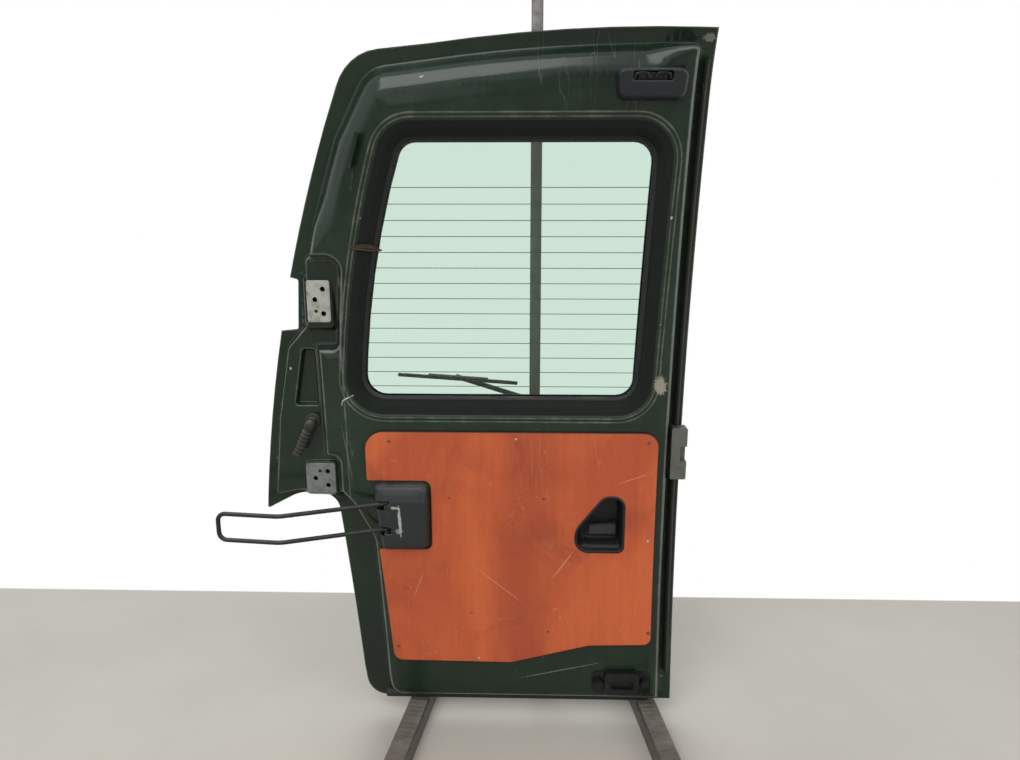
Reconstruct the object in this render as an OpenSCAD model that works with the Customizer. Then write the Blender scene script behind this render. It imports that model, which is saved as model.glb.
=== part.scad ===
// Rear barn door of a campervan, seen from inside, resting on its workshop stand.
// Local frame of the door: x runs left from the closing edge, z up from the bottom edge,
// y outward, with y = 0 touching the outer skin where it bows out furthest.

/* [Door outline] */
// Height of the door from bottom edge to roof edge
door_h = 1195; // [1100:5:1300]
// Radius of the long curve of the hinge-side edge
side_r = 2300; // [2100:50:2600]
// Furthest reach of that curve from the closing edge
side_reach = 779; // [740:1:820]
// Height at which the hinge-side curve stands upright
side_z = 188; // [150:1:230]
// Radius of the crowned roof edge
crown_r = 2800; // [2400:50:3400]
// Distance of the roof edge's highest point from the closing edge
crown_x = 100; // [60:5:160]
// Radius of the roof corner on the hinge side
roof_corner_r = 85; // [60:5:110]
// Height of the hinge wing's lower tip
wing_tip_z = 376; // [360:1:395]
// Height of the crest of the lamp cut-out
lamp_top_z = 411; // [405:1:425]
// Width of the door below the lamp cut-out
low_w = 592; // [585:1:600]

/* [Door curve] */
// Radius of the bow of the door in side view
bow_r = 3000; // [2600:50:3600]
// Height at which the bow reaches out furthest
bow_z = 395; // [360:5:430]
// Radius of the tighter roll into the roof
roll_r = 320; // [280:10:400]
// How far below the roof edge the roll begins
roll_drop = 95; // [75:5:105]

/* [Sheet metal] */
// Thickness of the outer skin
skin_t = 1.5; // [1:0.1:2]
// Thickness of the inner pressing
panel_t = 1.5; // [1:0.1:2]
// Depth of the door from skin to the face of the inner pressing
door_d = 46; // [42:1:52]
// Depth of the stepped hinge bay
bay_d = 20; // [17:1:24]
// Width of the hem flange on the closing edge
hem_w = 22; // [19:1:25]
// Width of the sloped hem on the hinge side
side_hem_w = 38; // [34:1:42]

/* [Window] */
// Height of the window opening's lower edge
win_z = 602; // [595:1:612]
// Height of the window opening's upper edge
win_top_z = 1037; // [1028:1:1045]
// Distance of the opening from the closing edge at its top
win_x = 80; // [76:1:90]
// How much further in the opening stands at its foot
win_rake = 12; // [0:1:20]
// Radius of the opening's curved hinge-side edge
win_side_r = 1500; // [1400:50:1700]
// Furthest reach of that curve from the closing edge
win_reach = 574; // [566:1:580]
// Radius of the opening's corners
win_corner_r = 32; // [24:1:40]
// Width of the stepped reveal around the opening
reveal_w = 32; // [27:1:34]
// Width of the reveal's deep inner step
reveal_in = 14; // [14:1:17]
// Depth of the edge between the reveal's two steps
reveal_d = 39; // [34:1:40]
// Thickness of the glass
glass_t = 4; // [3:0.5:5]
// How far the glass laps over the opening
glass_lap = 14; // [10:1:18]
// Width of the black rubber strip inside the reveal
seal_w = 8; // [6:1:10]

/* [Trim board] */
// Thickness of the plywood board
board_t = 6; // [4:0.5:9]
// Height of the board's upper edge
board_top_z = 545; // [535:1:552]
// Height of the board's lower edge on the closing side
board_low_z = 136; // [120:1:150]
// How much lower the board reaches on the hinge side
board_drop = 36; // [20:1:50]

/* [Check strap] */
// Diameter of the check loop's wire
wire_d = 8; // [6:0.5:9]
// Distance between the two legs of the check loop
leg_gap = 49; // [46:1:54]
// Height of the middle of the check loop
check_z = 386; // [380:1:392]
// Width of the moulded cover
cover_w = 104; // [98:1:110]
// Height of the moulded cover
cover_h = 128; // [122:1:134]
// How far the cover stands out of the pressing
cover_d = 24; // [22:1:28]
// Length of the loop from its pins to its bend
leg_in = 190; // [170:1:210]
// Length of the loop from its bend to its far end
leg_out = 112; // [95:1:130]
// Angle at which the loop leaves the cover
leg_rise = 20; // [18:1:24]
// Angle of the bend in the loop
leg_bend = 26; // [18:1:32]

/* [Inner handle] */
// Distance of the handle cup's middle from the closing edge
cup_x = 148; // [140:1:156]
// Height of the handle cup's middle
cup_z = 364; // [358:1:370]
// Depth of the handle cup
cup_d = 34; // [30:1:36]
// Length of the handle lever
lever_l = 44; // [38:1:48]

/* [Wiper] */
// Distance of the wiper spindle from the closing edge
spindle_x = 195; // [185:1:210]
// Height of the wiper spindle
spindle_z = 562; // [556:1:566]
// Length of the wiper arm
arm_l = 222; // [205:1:235]
// Length of the wiper blade
blade_l = 216; // [190:2:236]
// Angle of the arm above level when parked
park_a = 18; // [14:1:22]

/* [Hinges] */
// Diameter of the hinge bolt holes
bolt_d = 9; // [8:0.1:10]
// Distance between the two main holes of the upper hinge plate
bolt_gap = 42; // [36:1:46]
// Distance between the two main holes of the lower hinge plate
low_bolt_gap = 27; // [24:1:32]
// Height of the upper hinge plate's middle
hinge_top_z = 776; // [770:1:782]
// Height of the lower hinge plate's middle
hinge_low_z = 447; // [445:1:452]

/* [Stand] */
// Side of the square mast
mast_w = 20; // [18:1:25]
// Height of the mast above the door's bottom edge
mast_top_z = 1290; // [1250:5:1340]
// Distance of the mast from the closing edge
mast_x = 267; // [255:1:280]
// Gap between the skin and the mast
mast_gap = 44; // [42:1:50]
// Width of a foot
foot_w = 40; // [36:1:46]
// Height of a foot
foot_h = 32; // [28:1:40]
// Thickness of the ribbed rubber tread
tread_t = 4; // [3:0.5:6]
// Distance from rib to rib of the tread
rib_step = 12; // [10:1:16]
// Splay of each foot
foot_a = 7; // [4:1:10]
// Distance of each foot from the mast's line, at the door
foot_x = 215; // [200:1:225]
// Reach of the feet in front of the door
foot_front = 330; // [300:5:380]
// Reach of the feet behind the door
foot_back = 250; // [230:5:300]

/* [Hidden] */
$fn = 48;
// Facets of the very large arcs
long_fn = 256;
// Far limits of the prisms that cut the bowed sheets
y_in = -420;
y_out = 60;
floor_z = -(foot_h + tread_t);
clear = 0.3;
paint = [0.07, 0.13, 0.07];
black = [0.05, 0.05, 0.05];
steel = [0.45, 0.45, 0.45];

// Paths

function unit(v) = v / norm(v);
function cross2(a, b) = a[0] * b[1] - a[1] * b[0];
// One rounded corner of a path at b, with its neighbours a and c
function corner(a, b, c, r, n) =
  r == 0 ? [[b[0], b[1]]] :
  let (p0 = [b[0], b[1]], u = unit([a[0], a[1]] - p0), v = unit([c[0], c[1]] - p0))
  let (half = acos(u * v) / 2, run = r / tan(half), o = p0 + unit(u + v) * (r / sin(half)))
  let (p = p0 + u * run - o, q = p0 + v * run - o, sweep = atan2(cross2(p, q), p * q))
  [for (i = [0:n]) let (w = atan2(p[1], p[0]) + sweep * i / n) o + r * [cos(w), sin(w)]];
// A closed path from corners given as [x, z, radius]
function rounded(pts, n = 6) =
  let (c = len(pts))
  [for (i = [0:c - 1]) each corner(pts[(i + c - 1) % c], pts[i], pts[(i + 1) % c], pts[i][2], n)];
// Points of the curved hinge-side edge, inset by i, between two heights
function side_x(z, i = 0) = -side_reach + side_r - sqrt(pow(side_r - i, 2) - pow(z - side_z, 2));
function side_path(z0, z1, i, n) = [for (k = [0:n]) let (z = z0 + (z1 - z0) * k / n) [side_x(z, i), z, 0]];
// Points of the crowned roof edge, inset by i, between two places
function crown_z(x, i = 0) = door_h - crown_r + sqrt(pow(crown_r - i, 2) - pow(x + crown_x, 2));
function crown_path(x0, x1, i, n) = [for (k = [0:n]) let (x = x0 + (x1 - x0) * k / n) [x, crown_z(x, i), 0]];
// Where the roof edge and the hinge-side edge would cross
roof_corner_z = door_h - 31;
function roof_corner(i) = [side_x(roof_corner_z, i) + i * 0.25, roof_corner_z - i, roof_corner_r - i];
hinge_notch_z = [721, 815];
// Outline of the whole door, inset by i
function door_path(i = 0) = rounded(concat(
  [[-i, i, 0], [-i, crown_z(0, i), 0]],
  crown_path(-20, -430, i, 6),
  [roof_corner(i)],
  side_path(door_h - 135, hinge_notch_z[1], i, 6),
  [[side_x(hinge_notch_z[1]) + 14 + i, hinge_notch_z[1] - 4 + i, 4]],
  [[side_x(hinge_notch_z[0]) + 30 + i, hinge_notch_z[0] + 2 - i, 4]],
  side_path(hinge_notch_z[0] - 1, wing_tip_z + 30, i, 6),
  [[side_x(wing_tip_z) + i, wing_tip_z + i * 1.3, 3], [-706, lamp_top_z + i, 70 - i]],
  [[-636, lamp_top_z - 5 + i, 34], [-low_w - 4 + i, 60, 0], [-low_w + 6 + i, i, 40 - i]]));
// Outline of the raised face of the inner pressing, inset by i, with its two hinge pockets
face_side_x = 652;
top_pocket_x = [602, 616];
top_pocket_z = [702, 846];
low_pocket_x = 628;
low_pocket_z = 486;
function face_path(i = 0) = rounded(concat(
  [[-hem_w - i, 16 + i, 6], [-hem_w - i, crown_z(0, hem_w + i), 12]],
  crown_path(-40, -430, hem_w + i, 5),
  [roof_corner(hem_w + i)],
  side_path(door_h - 155, 900, hem_w + i, 4),
  [[side_x(850) + hem_w + 6 + i, top_pocket_z[1] + i, 8], [-top_pocket_x[0] + i, top_pocket_z[1] + i, 16]],
  [[-top_pocket_x[1] + i, top_pocket_z[0] - i, 3], [-face_side_x + i, top_pocket_z[0] - i, 6]],
  [[-face_side_x + i, low_pocket_z + i, 6], [-low_pocket_x + i, low_pocket_z + i, 8]],
  [[-low_pocket_x + i, 424, 8], [-low_pocket_x + 24 + i, 396, 20], [-low_w + side_hem_w - 16 + i, 330, 40]],
  [[-low_w + side_hem_w + 4 + i, 60, 0], [-low_w + side_hem_w + 12 + i, 16 + i, 34]]));
// Outline of the stepped hinge bay, which runs on under the raised face
bay_inset = 14;
bay_x = 596;
function bay_path(i = 0) = rounded(concat(
  [[-bay_x, 858 - i, 0], [side_x(845) + bay_inset + 6 + i, 858 - i, 18]],
  [[side_x(760) + bay_inset + 28 + i, 740, 20], [side_x(700) + bay_inset + i, 694, 30]],
  [[side_x(560) + bay_inset + i, 560, 0], [side_x(430) + bay_inset + i, 405 + i, 10]],
  [[-700, lamp_top_z + 5 + i, 60], [-bay_x, lamp_top_z - 1 + i, 0]]));
// Outline of the groove between the hinge bay's outer rib and the raised face
groove_z = [585, 690];
groove_d = 8;
groove_rib = 46;
groove_gap = 3;
function groove_path(i = 0) = rounded([
  [-face_side_x - groove_gap - i, groove_z[0] + i, 5], [-face_side_x - groove_gap - i, groove_z[1] - i, 5],
  [side_x(groove_z[1]) + groove_rib + i, groove_z[1] - i, 5],
  [side_x(groove_z[0]) + groove_rib + i, groove_z[0] + i, 5]]);
// Outline of the window opening, grown by g
function win_side_x(z, g) = -win_reach + win_side_r - sqrt(pow(win_side_r + g, 2) - pow(z - 528, 2));
function window_path(g = 0) = rounded(concat(
  [[-win_x - win_rake + g, win_z - g, win_corner_r + g], [-win_x + g, win_top_z + g, win_corner_r + g]],
  [[win_side_x(win_top_z, g), win_top_z + g, win_corner_r + g]],
  [for (k = [1:5]) let (z = win_top_z - (win_top_z - win_z) * k / 6) [win_side_x(z, g), z, 0]],
  [[win_side_x(win_z, g), win_z - g, win_corner_r + g + 4]]));
// Outline of the plywood board
board_x = [48, 570];
cover_x = [456, 456 + cover_w];
cover_z = [check_z - cover_h / 2, check_z + cover_h / 2];
cover_slack = 2;
board_foot = board_low_z - board_drop;
function board_path() = rounded([
  [-board_x[0], board_low_z, 14], [-board_x[0], board_top_z, 26], [-board_x[1], board_top_z, 34],
  [-board_x[1], cover_z[1] + cover_slack, 4], [-cover_x[0] + cover_slack, cover_z[1] + cover_slack, 3],
  [-cover_x[0] + cover_slack, cover_z[0] - cover_slack, 3], [-board_x[1] + 18, cover_z[0] - cover_slack, 3],
  [-board_x[1] + 42, board_foot, 18], [-308, board_foot - 2, 24], [-164, board_low_z - 3, 40]]);
// Teardrop outline of the handle cup, grown by g
function cup_path(g = 0) = rounded([
  [-cup_x + 44 + g, cup_z - 46 - g, 12 + g], [-cup_x + 44 + g, cup_z + 60 + g, 20 + g],
  [-cup_x + 2, cup_z + 62 + g, 16 + g], [-cup_x - 44 - g, cup_z - 8, 26 + g],
  [-cup_x - 42 - g, cup_z - 46 - g, 22 + g]]);

// Bowed sheets

// Start and centre of the roof roll
roll_z = door_h - roll_drop;
roll_a = asin((roll_z - bow_z) / bow_r);
roll_c = [-bow_r, bow_z] + (bow_r - roll_r) * [cos(roll_a), sin(roll_a)];
function ray_z(y) = bow_z + (y + bow_r) * tan(roll_a);
// Outer surface of the door at a height, at a depth below the skin
function skin_y(z, d = 0) = sqrt(pow(bow_r - d, 2) - pow(z - bow_z, 2)) - bow_r;
// Side view of everything on the inner side of the surface at depth d
module side_view(d) {
  intersection() {
    translate([-bow_r, bow_z]) circle(r = bow_r - d, $fn = long_fn * 4);
    polygon([[y_in, -60], [y_out, -60], [y_out, ray_z(y_out)], [y_in, ray_z(y_in)]]);
  }
  intersection() {
    translate(roll_c) circle(r = roll_r - d, $fn = long_fn);
    polygon([[y_in, ray_z(y_in)], [y_out, ray_z(y_out)], [y_out, door_h + 60], [y_in, door_h + 60]]);
  }
}
// Solid band between two depths, from one x to another
module band(d0, d1, x0, x1) {
  translate([x0, 0, 0]) rotate([90, 0, 90]) linear_extrude(x1 - x0) difference() {
    side_view(d0);
    side_view(d1);
  }
}
// Prism of an outline drawn in x and z
module through(y0 = y_in, y1 = y_out) {
  translate([0, y1, 0]) rotate([90, 0, 0]) linear_extrude(y1 - y0) children();
}
// Bowed sheet with an outline, between two depths
module sheet(d0, d1, x0 = -900, x1 = 60) {
  intersection() {
    band(d0, d1, x0, x1);
    through() children();
  }
}
module ring(outer, inner) {
  difference() {
    polygon(outer);
    polygon(inner);
  }
}
// Frame at a whose z axis points to b
module along(a, b) {
  v = unit(b - a);
  translate(a) rotate([0, acos(v[2]), atan2(v[1], v[0])]) children();
}
// Rounded block given by its low and high corners in x and z
module block(x0, x1, z0, z1, y0, y1, r) {
  through(y0, y1) polygon(rounded([[x0, z0, r], [x1, z0, r], [x1, z1, r], [x0, z1, r]]));
}

// Door shell

hole_y = 40;
module skin_openings() {
  through() polygon(window_path(-2));
  translate([-spindle_x, hole_y, spindle_z]) rotate([90, 0, 0])
    cylinder(h = 2 * hole_y, r = housing_r + clear);
}
lock_z = [453, 549];
module outer_skin() color(paint) difference() {
  sheet(0, skin_t) polygon(door_path());
  skin_openings();
}

module access_holes() {
  through() polygon(cup_path(6));
  block(-400, -240, 190, 500, y_in, 0, 30);
  block(-cover_x[1] + 34, -cover_x[0] - 8, cover_z[0] + 8, cover_z[1] - 8, y_in, 0, 8);
}
// Hinge plates: the middle, the size, what the pad shows around it, the bolts and the locating hole
top_hinge = [[-639, hinge_top_z], [40, 72], [4, 10],
  [[8, bolt_gap / 2], [8, -bolt_gap / 2]], [-6, 3]];
low_hinge = [[-659, hinge_low_z], [54, 58], [2, 2],
  [[13, low_bolt_gap / 2], [13, -low_bolt_gap / 2]], [-10, 0]];
plate_t = 3;
pad_t = 13;
pad_out = 5;
function pad_y(z) = skin_y(z, bay_d) - pad_out;
module hinge_block(h, rim, y0, y1, r) {
  w = h[1] / 2 + rim;
  block(h[0][0] - w[0], h[0][0] + w[0], h[0][1] - w[1], h[0][1] + w[1], y0, y1, r);
}
module pad(h) hinge_block(h, h[2], pad_y(h[0][1]), pad_y(h[0][1]) + pad_t, 6);
module hinge_bores(h) {
  for (p = concat(h[3], [h[4]])) translate([h[0][0] + p[0], 0, h[0][1] + p[1]]) rotate([90, 0, 0])
    cylinder(h = 2 * hole_y + 60, d = bolt_d, center = true);
}
module inner_pressing() color(paint) difference() {
  union() {
    // Hem flange, raised face and stepped hinge bay
    sheet(skin_t, skin_t + panel_t) polygon(door_path(1));
    sheet(skin_t, door_d) polygon(face_path());
    sheet(skin_t, bay_d) polygon(bay_path());
    pad(top_hinge);
    pad(low_hinge);
  }
  // Hollow behind the raised face, around both steps of the window reveal
  difference() {
    sheet(-10, door_d - panel_t) polygon(face_path(panel_t));
    through() polygon(window_path(reveal_in));
    sheet(reveal_d - panel_t, door_d + 20) polygon(window_path(reveal_w));
  }
  // Hollow behind the hinge bay
  difference() {
    sheet(-10, bay_d - panel_t) polygon(bay_path(panel_t));
    through() polygon(face_path(panel_t));
    sheet(groove_d - panel_t, bay_d + 20) polygon(groove_path(-panel_t));
    pad(top_hinge);
    pad(low_hinge);
  }
  sheet(groove_d, bay_d + 20) polygon(groove_path());
  // Window recess in two steps, opening and rebate for the glass
  sheet(skin_t + glass_t + panel_t, door_d + 20) polygon(window_path(reveal_in - panel_t));
  sheet(reveal_d, door_d + 20) polygon(window_path(reveal_w - panel_t));
  sheet(-10, skin_t + glass_t) polygon(window_path(glass_lap + clear));
  through() polygon(window_path());
  access_holes();
  hinge_bores(top_hinge);
  hinge_bores(low_hinge);
}

module hinge_plate(h) difference() {
  hinge_block(h, [0, 0], pad_y(h[0][1]) - plate_t, pad_y(h[0][1]), 4);
  hinge_bores(h);
}
module hinge_plate_upper() color([0.6, 0.58, 0.5]) hinge_plate(top_hinge);
module hinge_plate_lower() color([0.5, 0.52, 0.45]) hinge_plate(low_hinge);

// Window

module window_glass() color([0.7, 0.85, 0.75, 0.4])
  sheet(skin_t, skin_t + glass_t) polygon(window_path(glass_lap));
module window_seal() color(black)
  sheet(skin_t + glass_t + panel_t, skin_t + glass_t + panel_t + 9) ring(window_path(seal_w), window_path());

// Trim board

module trim_board() color([0.72, 0.27, 0.1]) difference() {
  sheet(door_d, door_d + board_t) polygon(board_path());
  through() polygon(cup_path(clear));
}

// Door check

slot_h = 18;
leg_z = [check_z - leg_gap / 2, check_z + leg_gap / 2];
pin_x = cover_x[1] - 28;
pin_y = -door_d - 11;
cover_wall = 3;
module cover_slots() {
  for (z = leg_z) block(-cover_x[1] - 20, -cover_x[1] + 36, z - slot_h / 2, z + slot_h / 2,
    -door_d - cover_d - 30, -door_d - 3, 3);
}
// Outline of the moulded cover, inset by i; its left side leans with the edge of the pressing
cover_lean = 14;
function cover_path(i = 0) = rounded([
  [-cover_x[1] + cover_lean + i, cover_z[0] + i, 8 - i], [-cover_x[0] - i, cover_z[0] + i, 8 - i],
  [-cover_x[0] - i, cover_z[1] - i, 14 - i], [-cover_x[1] + i, cover_z[1] - i, 10 - i]]);
module check_cover() color(black) difference() {
  sheet(door_d, door_d + cover_d) polygon(cover_path());
  sheet(door_d - 2, door_d + cover_d - cover_wall) polygon(cover_path(cover_wall));
  cover_slots();
}
joint_d = wire_d + 0.4;
eye_wall = 4.5;
pin_r = 8;
eye_h = 10;
eye_off = 1.6;
bracket_t = 2;
pin_gap = 0.1;
module check_bracket() color(steel) difference() {
  union() {
    sheet(door_d, door_d + bracket_t) polygon(rounded([
      [-pin_x - 9, leg_z[0] - 26, 3], [-pin_x + 40, leg_z[0] - 26, 3],
      [-pin_x + 40, leg_z[1] + 26, 3], [-pin_x - 9, leg_z[1] + 26, 3]]));
    for (s = [0, 1]) let (z = s == 0 ? leg_z[0] - pin_r - eye_off - eye_h : leg_z[1] + pin_r + eye_off)
      translate([0, 0, z]) {
        translate([-pin_x, pin_y, 0]) cylinder(h = eye_h, d = wire_d + 2 * eye_wall);
        translate([-pin_x - 7.5, pin_y, 0]) cube([15, -door_d - 1 - pin_y, eye_h]);
      }
  }
  translate([-pin_x, pin_y, leg_z[0] - 60]) cylinder(h = leg_gap + 120, d = wire_d + 2 * pin_gap);
}
// The loop's path seen from above: out of its pins, round a bend and to its far end
end_r = 14;
elbow_steps = 3;
dir_in = [-cos(leg_rise), -sin(leg_rise)];
dir_out = [-cos(leg_rise - leg_bend), -sin(leg_rise - leg_bend)];
pin_p = [-pin_x, pin_y];
bend_p = pin_p + leg_in * dir_in;
end_p = bend_p + leg_out * dir_out;
function flat(p, z) = [p[0], p[1], z];
// Wire along a list of points, with a rounded joint at each point between its ends
module wire(pts) {
  for (i = [1:len(pts) - 1]) along(pts[i - 1], pts[i]) {
    cylinder(h = norm(pts[i] - pts[i - 1]), d = wire_d);
    if (i > 1) rotate([0, 0, 180]) sphere(d = joint_d);
  }
}
// Points of a right-angled turn at p, from direction u into direction v
function elbow(p, u, v, r) = [for (i = [0:elbow_steps]) let (w = 90 * i / elbow_steps)
  p + r * ((sin(w) - 1) * u + (1 - cos(w)) * v)];
pin_l = pin_r + eye_off + eye_h + 2;
module check_loop() color(black) {
  up = [0, 0, 1];
  in = flat(dir_in, 0);
  out = flat(dir_out, 0);
  wire(concat(
    [flat(pin_p, leg_z[0] - pin_l)], elbow(flat(pin_p, leg_z[0]), up, in, pin_r), [flat(bend_p, leg_z[0])],
    elbow(flat(end_p, leg_z[0]), out, up, end_r), elbow(flat(end_p, leg_z[1]), up, -out, end_r),
    [flat(bend_p, leg_z[1])], elbow(flat(pin_p, leg_z[1]), -in, up, pin_r),
    [flat(pin_p, leg_z[1] + pin_l)]));
}

// Inner handle

cup_wall = 2;
cup_lip = 4;
lever_x = cup_x - 28;
lever_pin_y = -door_d + 14;
lever_z = cup_z - 7;
lever_h = 18;
lever_pin_d = 5;
ear_t = 3;
ear_gap = 0.4;
cup_floor_d = door_d + board_t - cup_d;
module lever_pin(d, h) {
  translate([-lever_x, lever_pin_y, lever_z - h / 2]) cylinder(h = h, d = d);
}
module handle_cup() color(black) {
  difference() {
    union() {
      sheet(door_d + board_t, door_d + board_t + 2) polygon(cup_path(cup_lip));
      sheet(cup_floor_d, door_d + board_t) polygon(cup_path());
    }
    sheet(cup_floor_d + cup_wall, door_d + board_t + 20) polygon(cup_path(-cup_wall));
  }
  // Ears and pin that carry the lever
  for (s = [-1, 1]) let (z = lever_z + s * (lever_h / 2 + ear_gap + ear_t / 2))
    translate([-lever_x - 5, lever_pin_y - 5, z - ear_t / 2])
      cube([10, skin_y(cup_z, cup_floor_d + 1) - lever_pin_y + 5, ear_t]);
  lever_pin(lever_pin_d, lever_h + 2 * ear_gap + 2 * ear_t);
}
module handle_lever() color([0.12, 0.12, 0.12]) difference() {
  hull() {
    translate([-lever_x, lever_pin_y, lever_z - lever_h / 2]) cylinder(h = lever_h, d = 11, $fn = 32);
    translate([-lever_x - lever_l, lever_pin_y - 6, lever_z - lever_h / 2 + 1])
      cylinder(h = lever_h - 2, d = 7, $fn = 32);
  }
  lever_pin(lever_pin_d + 0.12, 2 * lever_h);
}

// Latches and lock

// The top latch hangs a fixed way below the roof edge
latch_x = 98;
latch_top = door_h - 61;
latch_h = 44;
latch_wall = 3;
latch_d = 15;
function latch_path(i = 0) = rounded([
  [-latch_x - 39 + i, latch_top - latch_h + i, 10 - i], [-latch_x + 53 - i, latch_top - latch_h + i, 12 - i],
  [-latch_x + 56 - i, latch_top - i, 4 - i / 2], [-latch_x - 56 + i, latch_top - i, 4 - i / 2]]);
module top_latch_cover() color(black) difference() {
  sheet(door_d, door_d + latch_d) polygon(latch_path());
  sheet(door_d - 2, door_d + latch_d - latch_wall) polygon(latch_path(latch_wall));
  sheet(door_d - 2, door_d + 2 * latch_d) polygon(rounded([
    [-latch_x - 29, latch_top - 18, 3], [-latch_x + 30, latch_top - 18, 3],
    [-latch_x + 30, latch_top - 5, 3], [-latch_x - 29, latch_top - 5, 3]]));
}
module top_latch() color(steel)
  sheet(door_d, door_d + latch_d - 5) polygon(rounded([
    [-latch_x - 24, latch_top - 28, 4], [-latch_x + 24, latch_top - 28, 4],
    [-latch_x + 20, latch_top - 7, 5], [-latch_x - 20, latch_top - 7, 5]]));
// The bottom latch: a base plate, its housing with the catch's slot, and a bolt boss at each end
low_latch = [-101, 61];
low_latch_w = 110;
boss_r = 9.5;
boss_edge = 2;
// Rounded outline in the latch's place, given by its low and high corners from the latch's middle
module latch_shape(x0, x1, z0, z1, r) {
  translate(low_latch) polygon(rounded([[x0, z0, r], [x1, z0, r], [x1, z1, r], [x0, z1, r]]));
}
module bottom_latch() color(black) {
  difference() {
    union() {
      sheet(door_d, door_d + 3) latch_shape(-low_latch_w / 2, low_latch_w / 2, -22, 20, 12);
      sheet(door_d, door_d + 16) latch_shape(-32, 32, -18, 24, 8);
    }
    sheet(door_d + 8, door_d + 30) latch_shape(-20, 22, -7, 9, 4);
  }
  for (s = [-1, 1]) sheet(door_d, door_d + 12)
    translate([low_latch[0] + s * (low_latch_w / 2 - boss_r - boss_edge), low_latch[1]]) circle(r = boss_r);
}
lock_out = 6;
module centre_lock() color(steel) difference() {
  block(-hem_w, lock_out, lock_z[0], lock_z[1], -34, -10, 3);
  block(-6, lock_out + 5, lock_z[0] + 34, lock_z[1] - 34, -60, -18, 2);
}

// Seals

seal_d = skin_t + panel_t;
seal_x = [7, 15];
seal_low_z = 60;
seal_top_z = door_h - 45;
module meeting_seal() color(black)
  for (z = [[seal_low_z, lock_z[0] - clear], [lock_z[1] + clear, seal_top_z]])
    sheet(seal_d, seal_d + seal_x[1] - 1)
      polygon([[-seal_x[1], z[0]], [-seal_x[0], z[0]], [-seal_x[0], z[1]], [-seal_x[1], z[1]]]);
strip_z = [1, 14];
strip_x = [44, low_w - 40];
module bottom_seal() color(black)
  sheet(seal_d, seal_d + 12) polygon([[-strip_x[1], strip_z[0]], [-strip_x[0], strip_z[0]],
    [-strip_x[0], strip_z[1]], [-strip_x[1], strip_z[1]]]);

// Wiring boot and guide

boot_p = [-668, 556];
boot_tilt = 25;
boot_l = 62;
boot_r = 9;
grommet_l = 14;
// Frame that lies flat on the hinge bay at a height
module on_bay(z) {
  translate([0, skin_y(z, bay_d), z]) rotate([asin((z - bow_z) / bow_r), 0, 0]) children();
}
module loom_grommet() color(black)
  on_bay(boot_p[1]) translate([boot_p[0], 0, 0]) rotate([90, 0, 0]) {
    translate([0, 0, 0.1]) cylinder(h = 4, r = 14);
    translate([0, 0, 0.1]) cylinder(h = grommet_l, r = boot_r - 1);
  }
module loom_boot() color(black)
  on_bay(boot_p[1]) translate([boot_p[0], -grommet_l - boot_r, 0]) {
    sphere(r = boot_r);
    rotate([0, 180 + boot_tilt, 0]) rotate_extrude() polygon(concat([[0, 0]],
      [for (k = [0:10]) [boot_r + (k % 2 == 0 ? 0 : -1.6), 2 + k * (boot_l - 2) / 10]], [[0, boot_l]]));
  }
// The guide fin stands beside the window reveal, near the roof edge
fin_z = [door_h - 201, door_h - 148];
fin_gap = 26;
fin_w = 6;
function fin_x(z) = win_side_x(z, reveal_w) - fin_gap;
module guide_fin() color(paint)
  sheet(door_d, door_d + 9) polygon(rounded([
    [fin_x(fin_z[0]) - fin_w, fin_z[0], 2], [fin_x(fin_z[0]), fin_z[0], 2],
    [fin_x(fin_z[1]), fin_z[1], 2], [fin_x(fin_z[1]) - fin_w, fin_z[1], 2]]));

// Wiper, in the plane that touches the glass at its parked height

housing_r = 12;
housing_l = 36;
tube_r = 8;
spindle_r = 4;
// The skin curves away from the wiper's plane here
flange_in = 0.3;
touch_z = 640;
touch_a = asin((touch_z - bow_z) / bow_r);
module on_glass() {
  translate([0, skin_y(touch_z), touch_z]) rotate([touch_a, 0, 0]) translate([0, 0, -touch_z]) children();
}
// The same plane's coordinates of the spindle
spindle_v = touch_z + (spindle_z - touch_z) / cos(touch_a);
arm_y = 10;
module spin() {
  translate([-spindle_x, 0, spindle_v]) children();
}
module wiper_housing() color(black) on_glass() spin() rotate([-90, 0, 0]) difference() {
  union() {
    translate([0, 0, -housing_l]) cylinder(h = housing_l, r = tube_r);
    cylinder(h = arm_y - 1, r = housing_r - 1);
    translate([0, 0, -flange_in]) cylinder(h = arm_y - 1 + flange_in, r = housing_r + 4);
  }
  translate([0, 0, -20]) cylinder(h = 60, r = spindle_r + pin_gap);
}
blade_c = [-arm_l * cos(park_a), arm_l * sin(park_a)];
module wiper_arm() color(black) on_glass() spin() {
  rotate([-90, 0, 0]) translate([0, 0, -15]) cylinder(h = 15 + arm_y + 14, r = spindle_r);
  rotate([-90, 0, 0]) translate([0, 0, arm_y]) cylinder(h = 14, r = 13);
  rotate([0, park_a, 0]) {
    translate([-60, arm_y, -9]) cube([60, 12, 18]);
    translate([-arm_l - 5, arm_y + 4, -4]) cube([arm_l - 50, 5, 8]);
  }
}
blade_a = 4;
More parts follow.
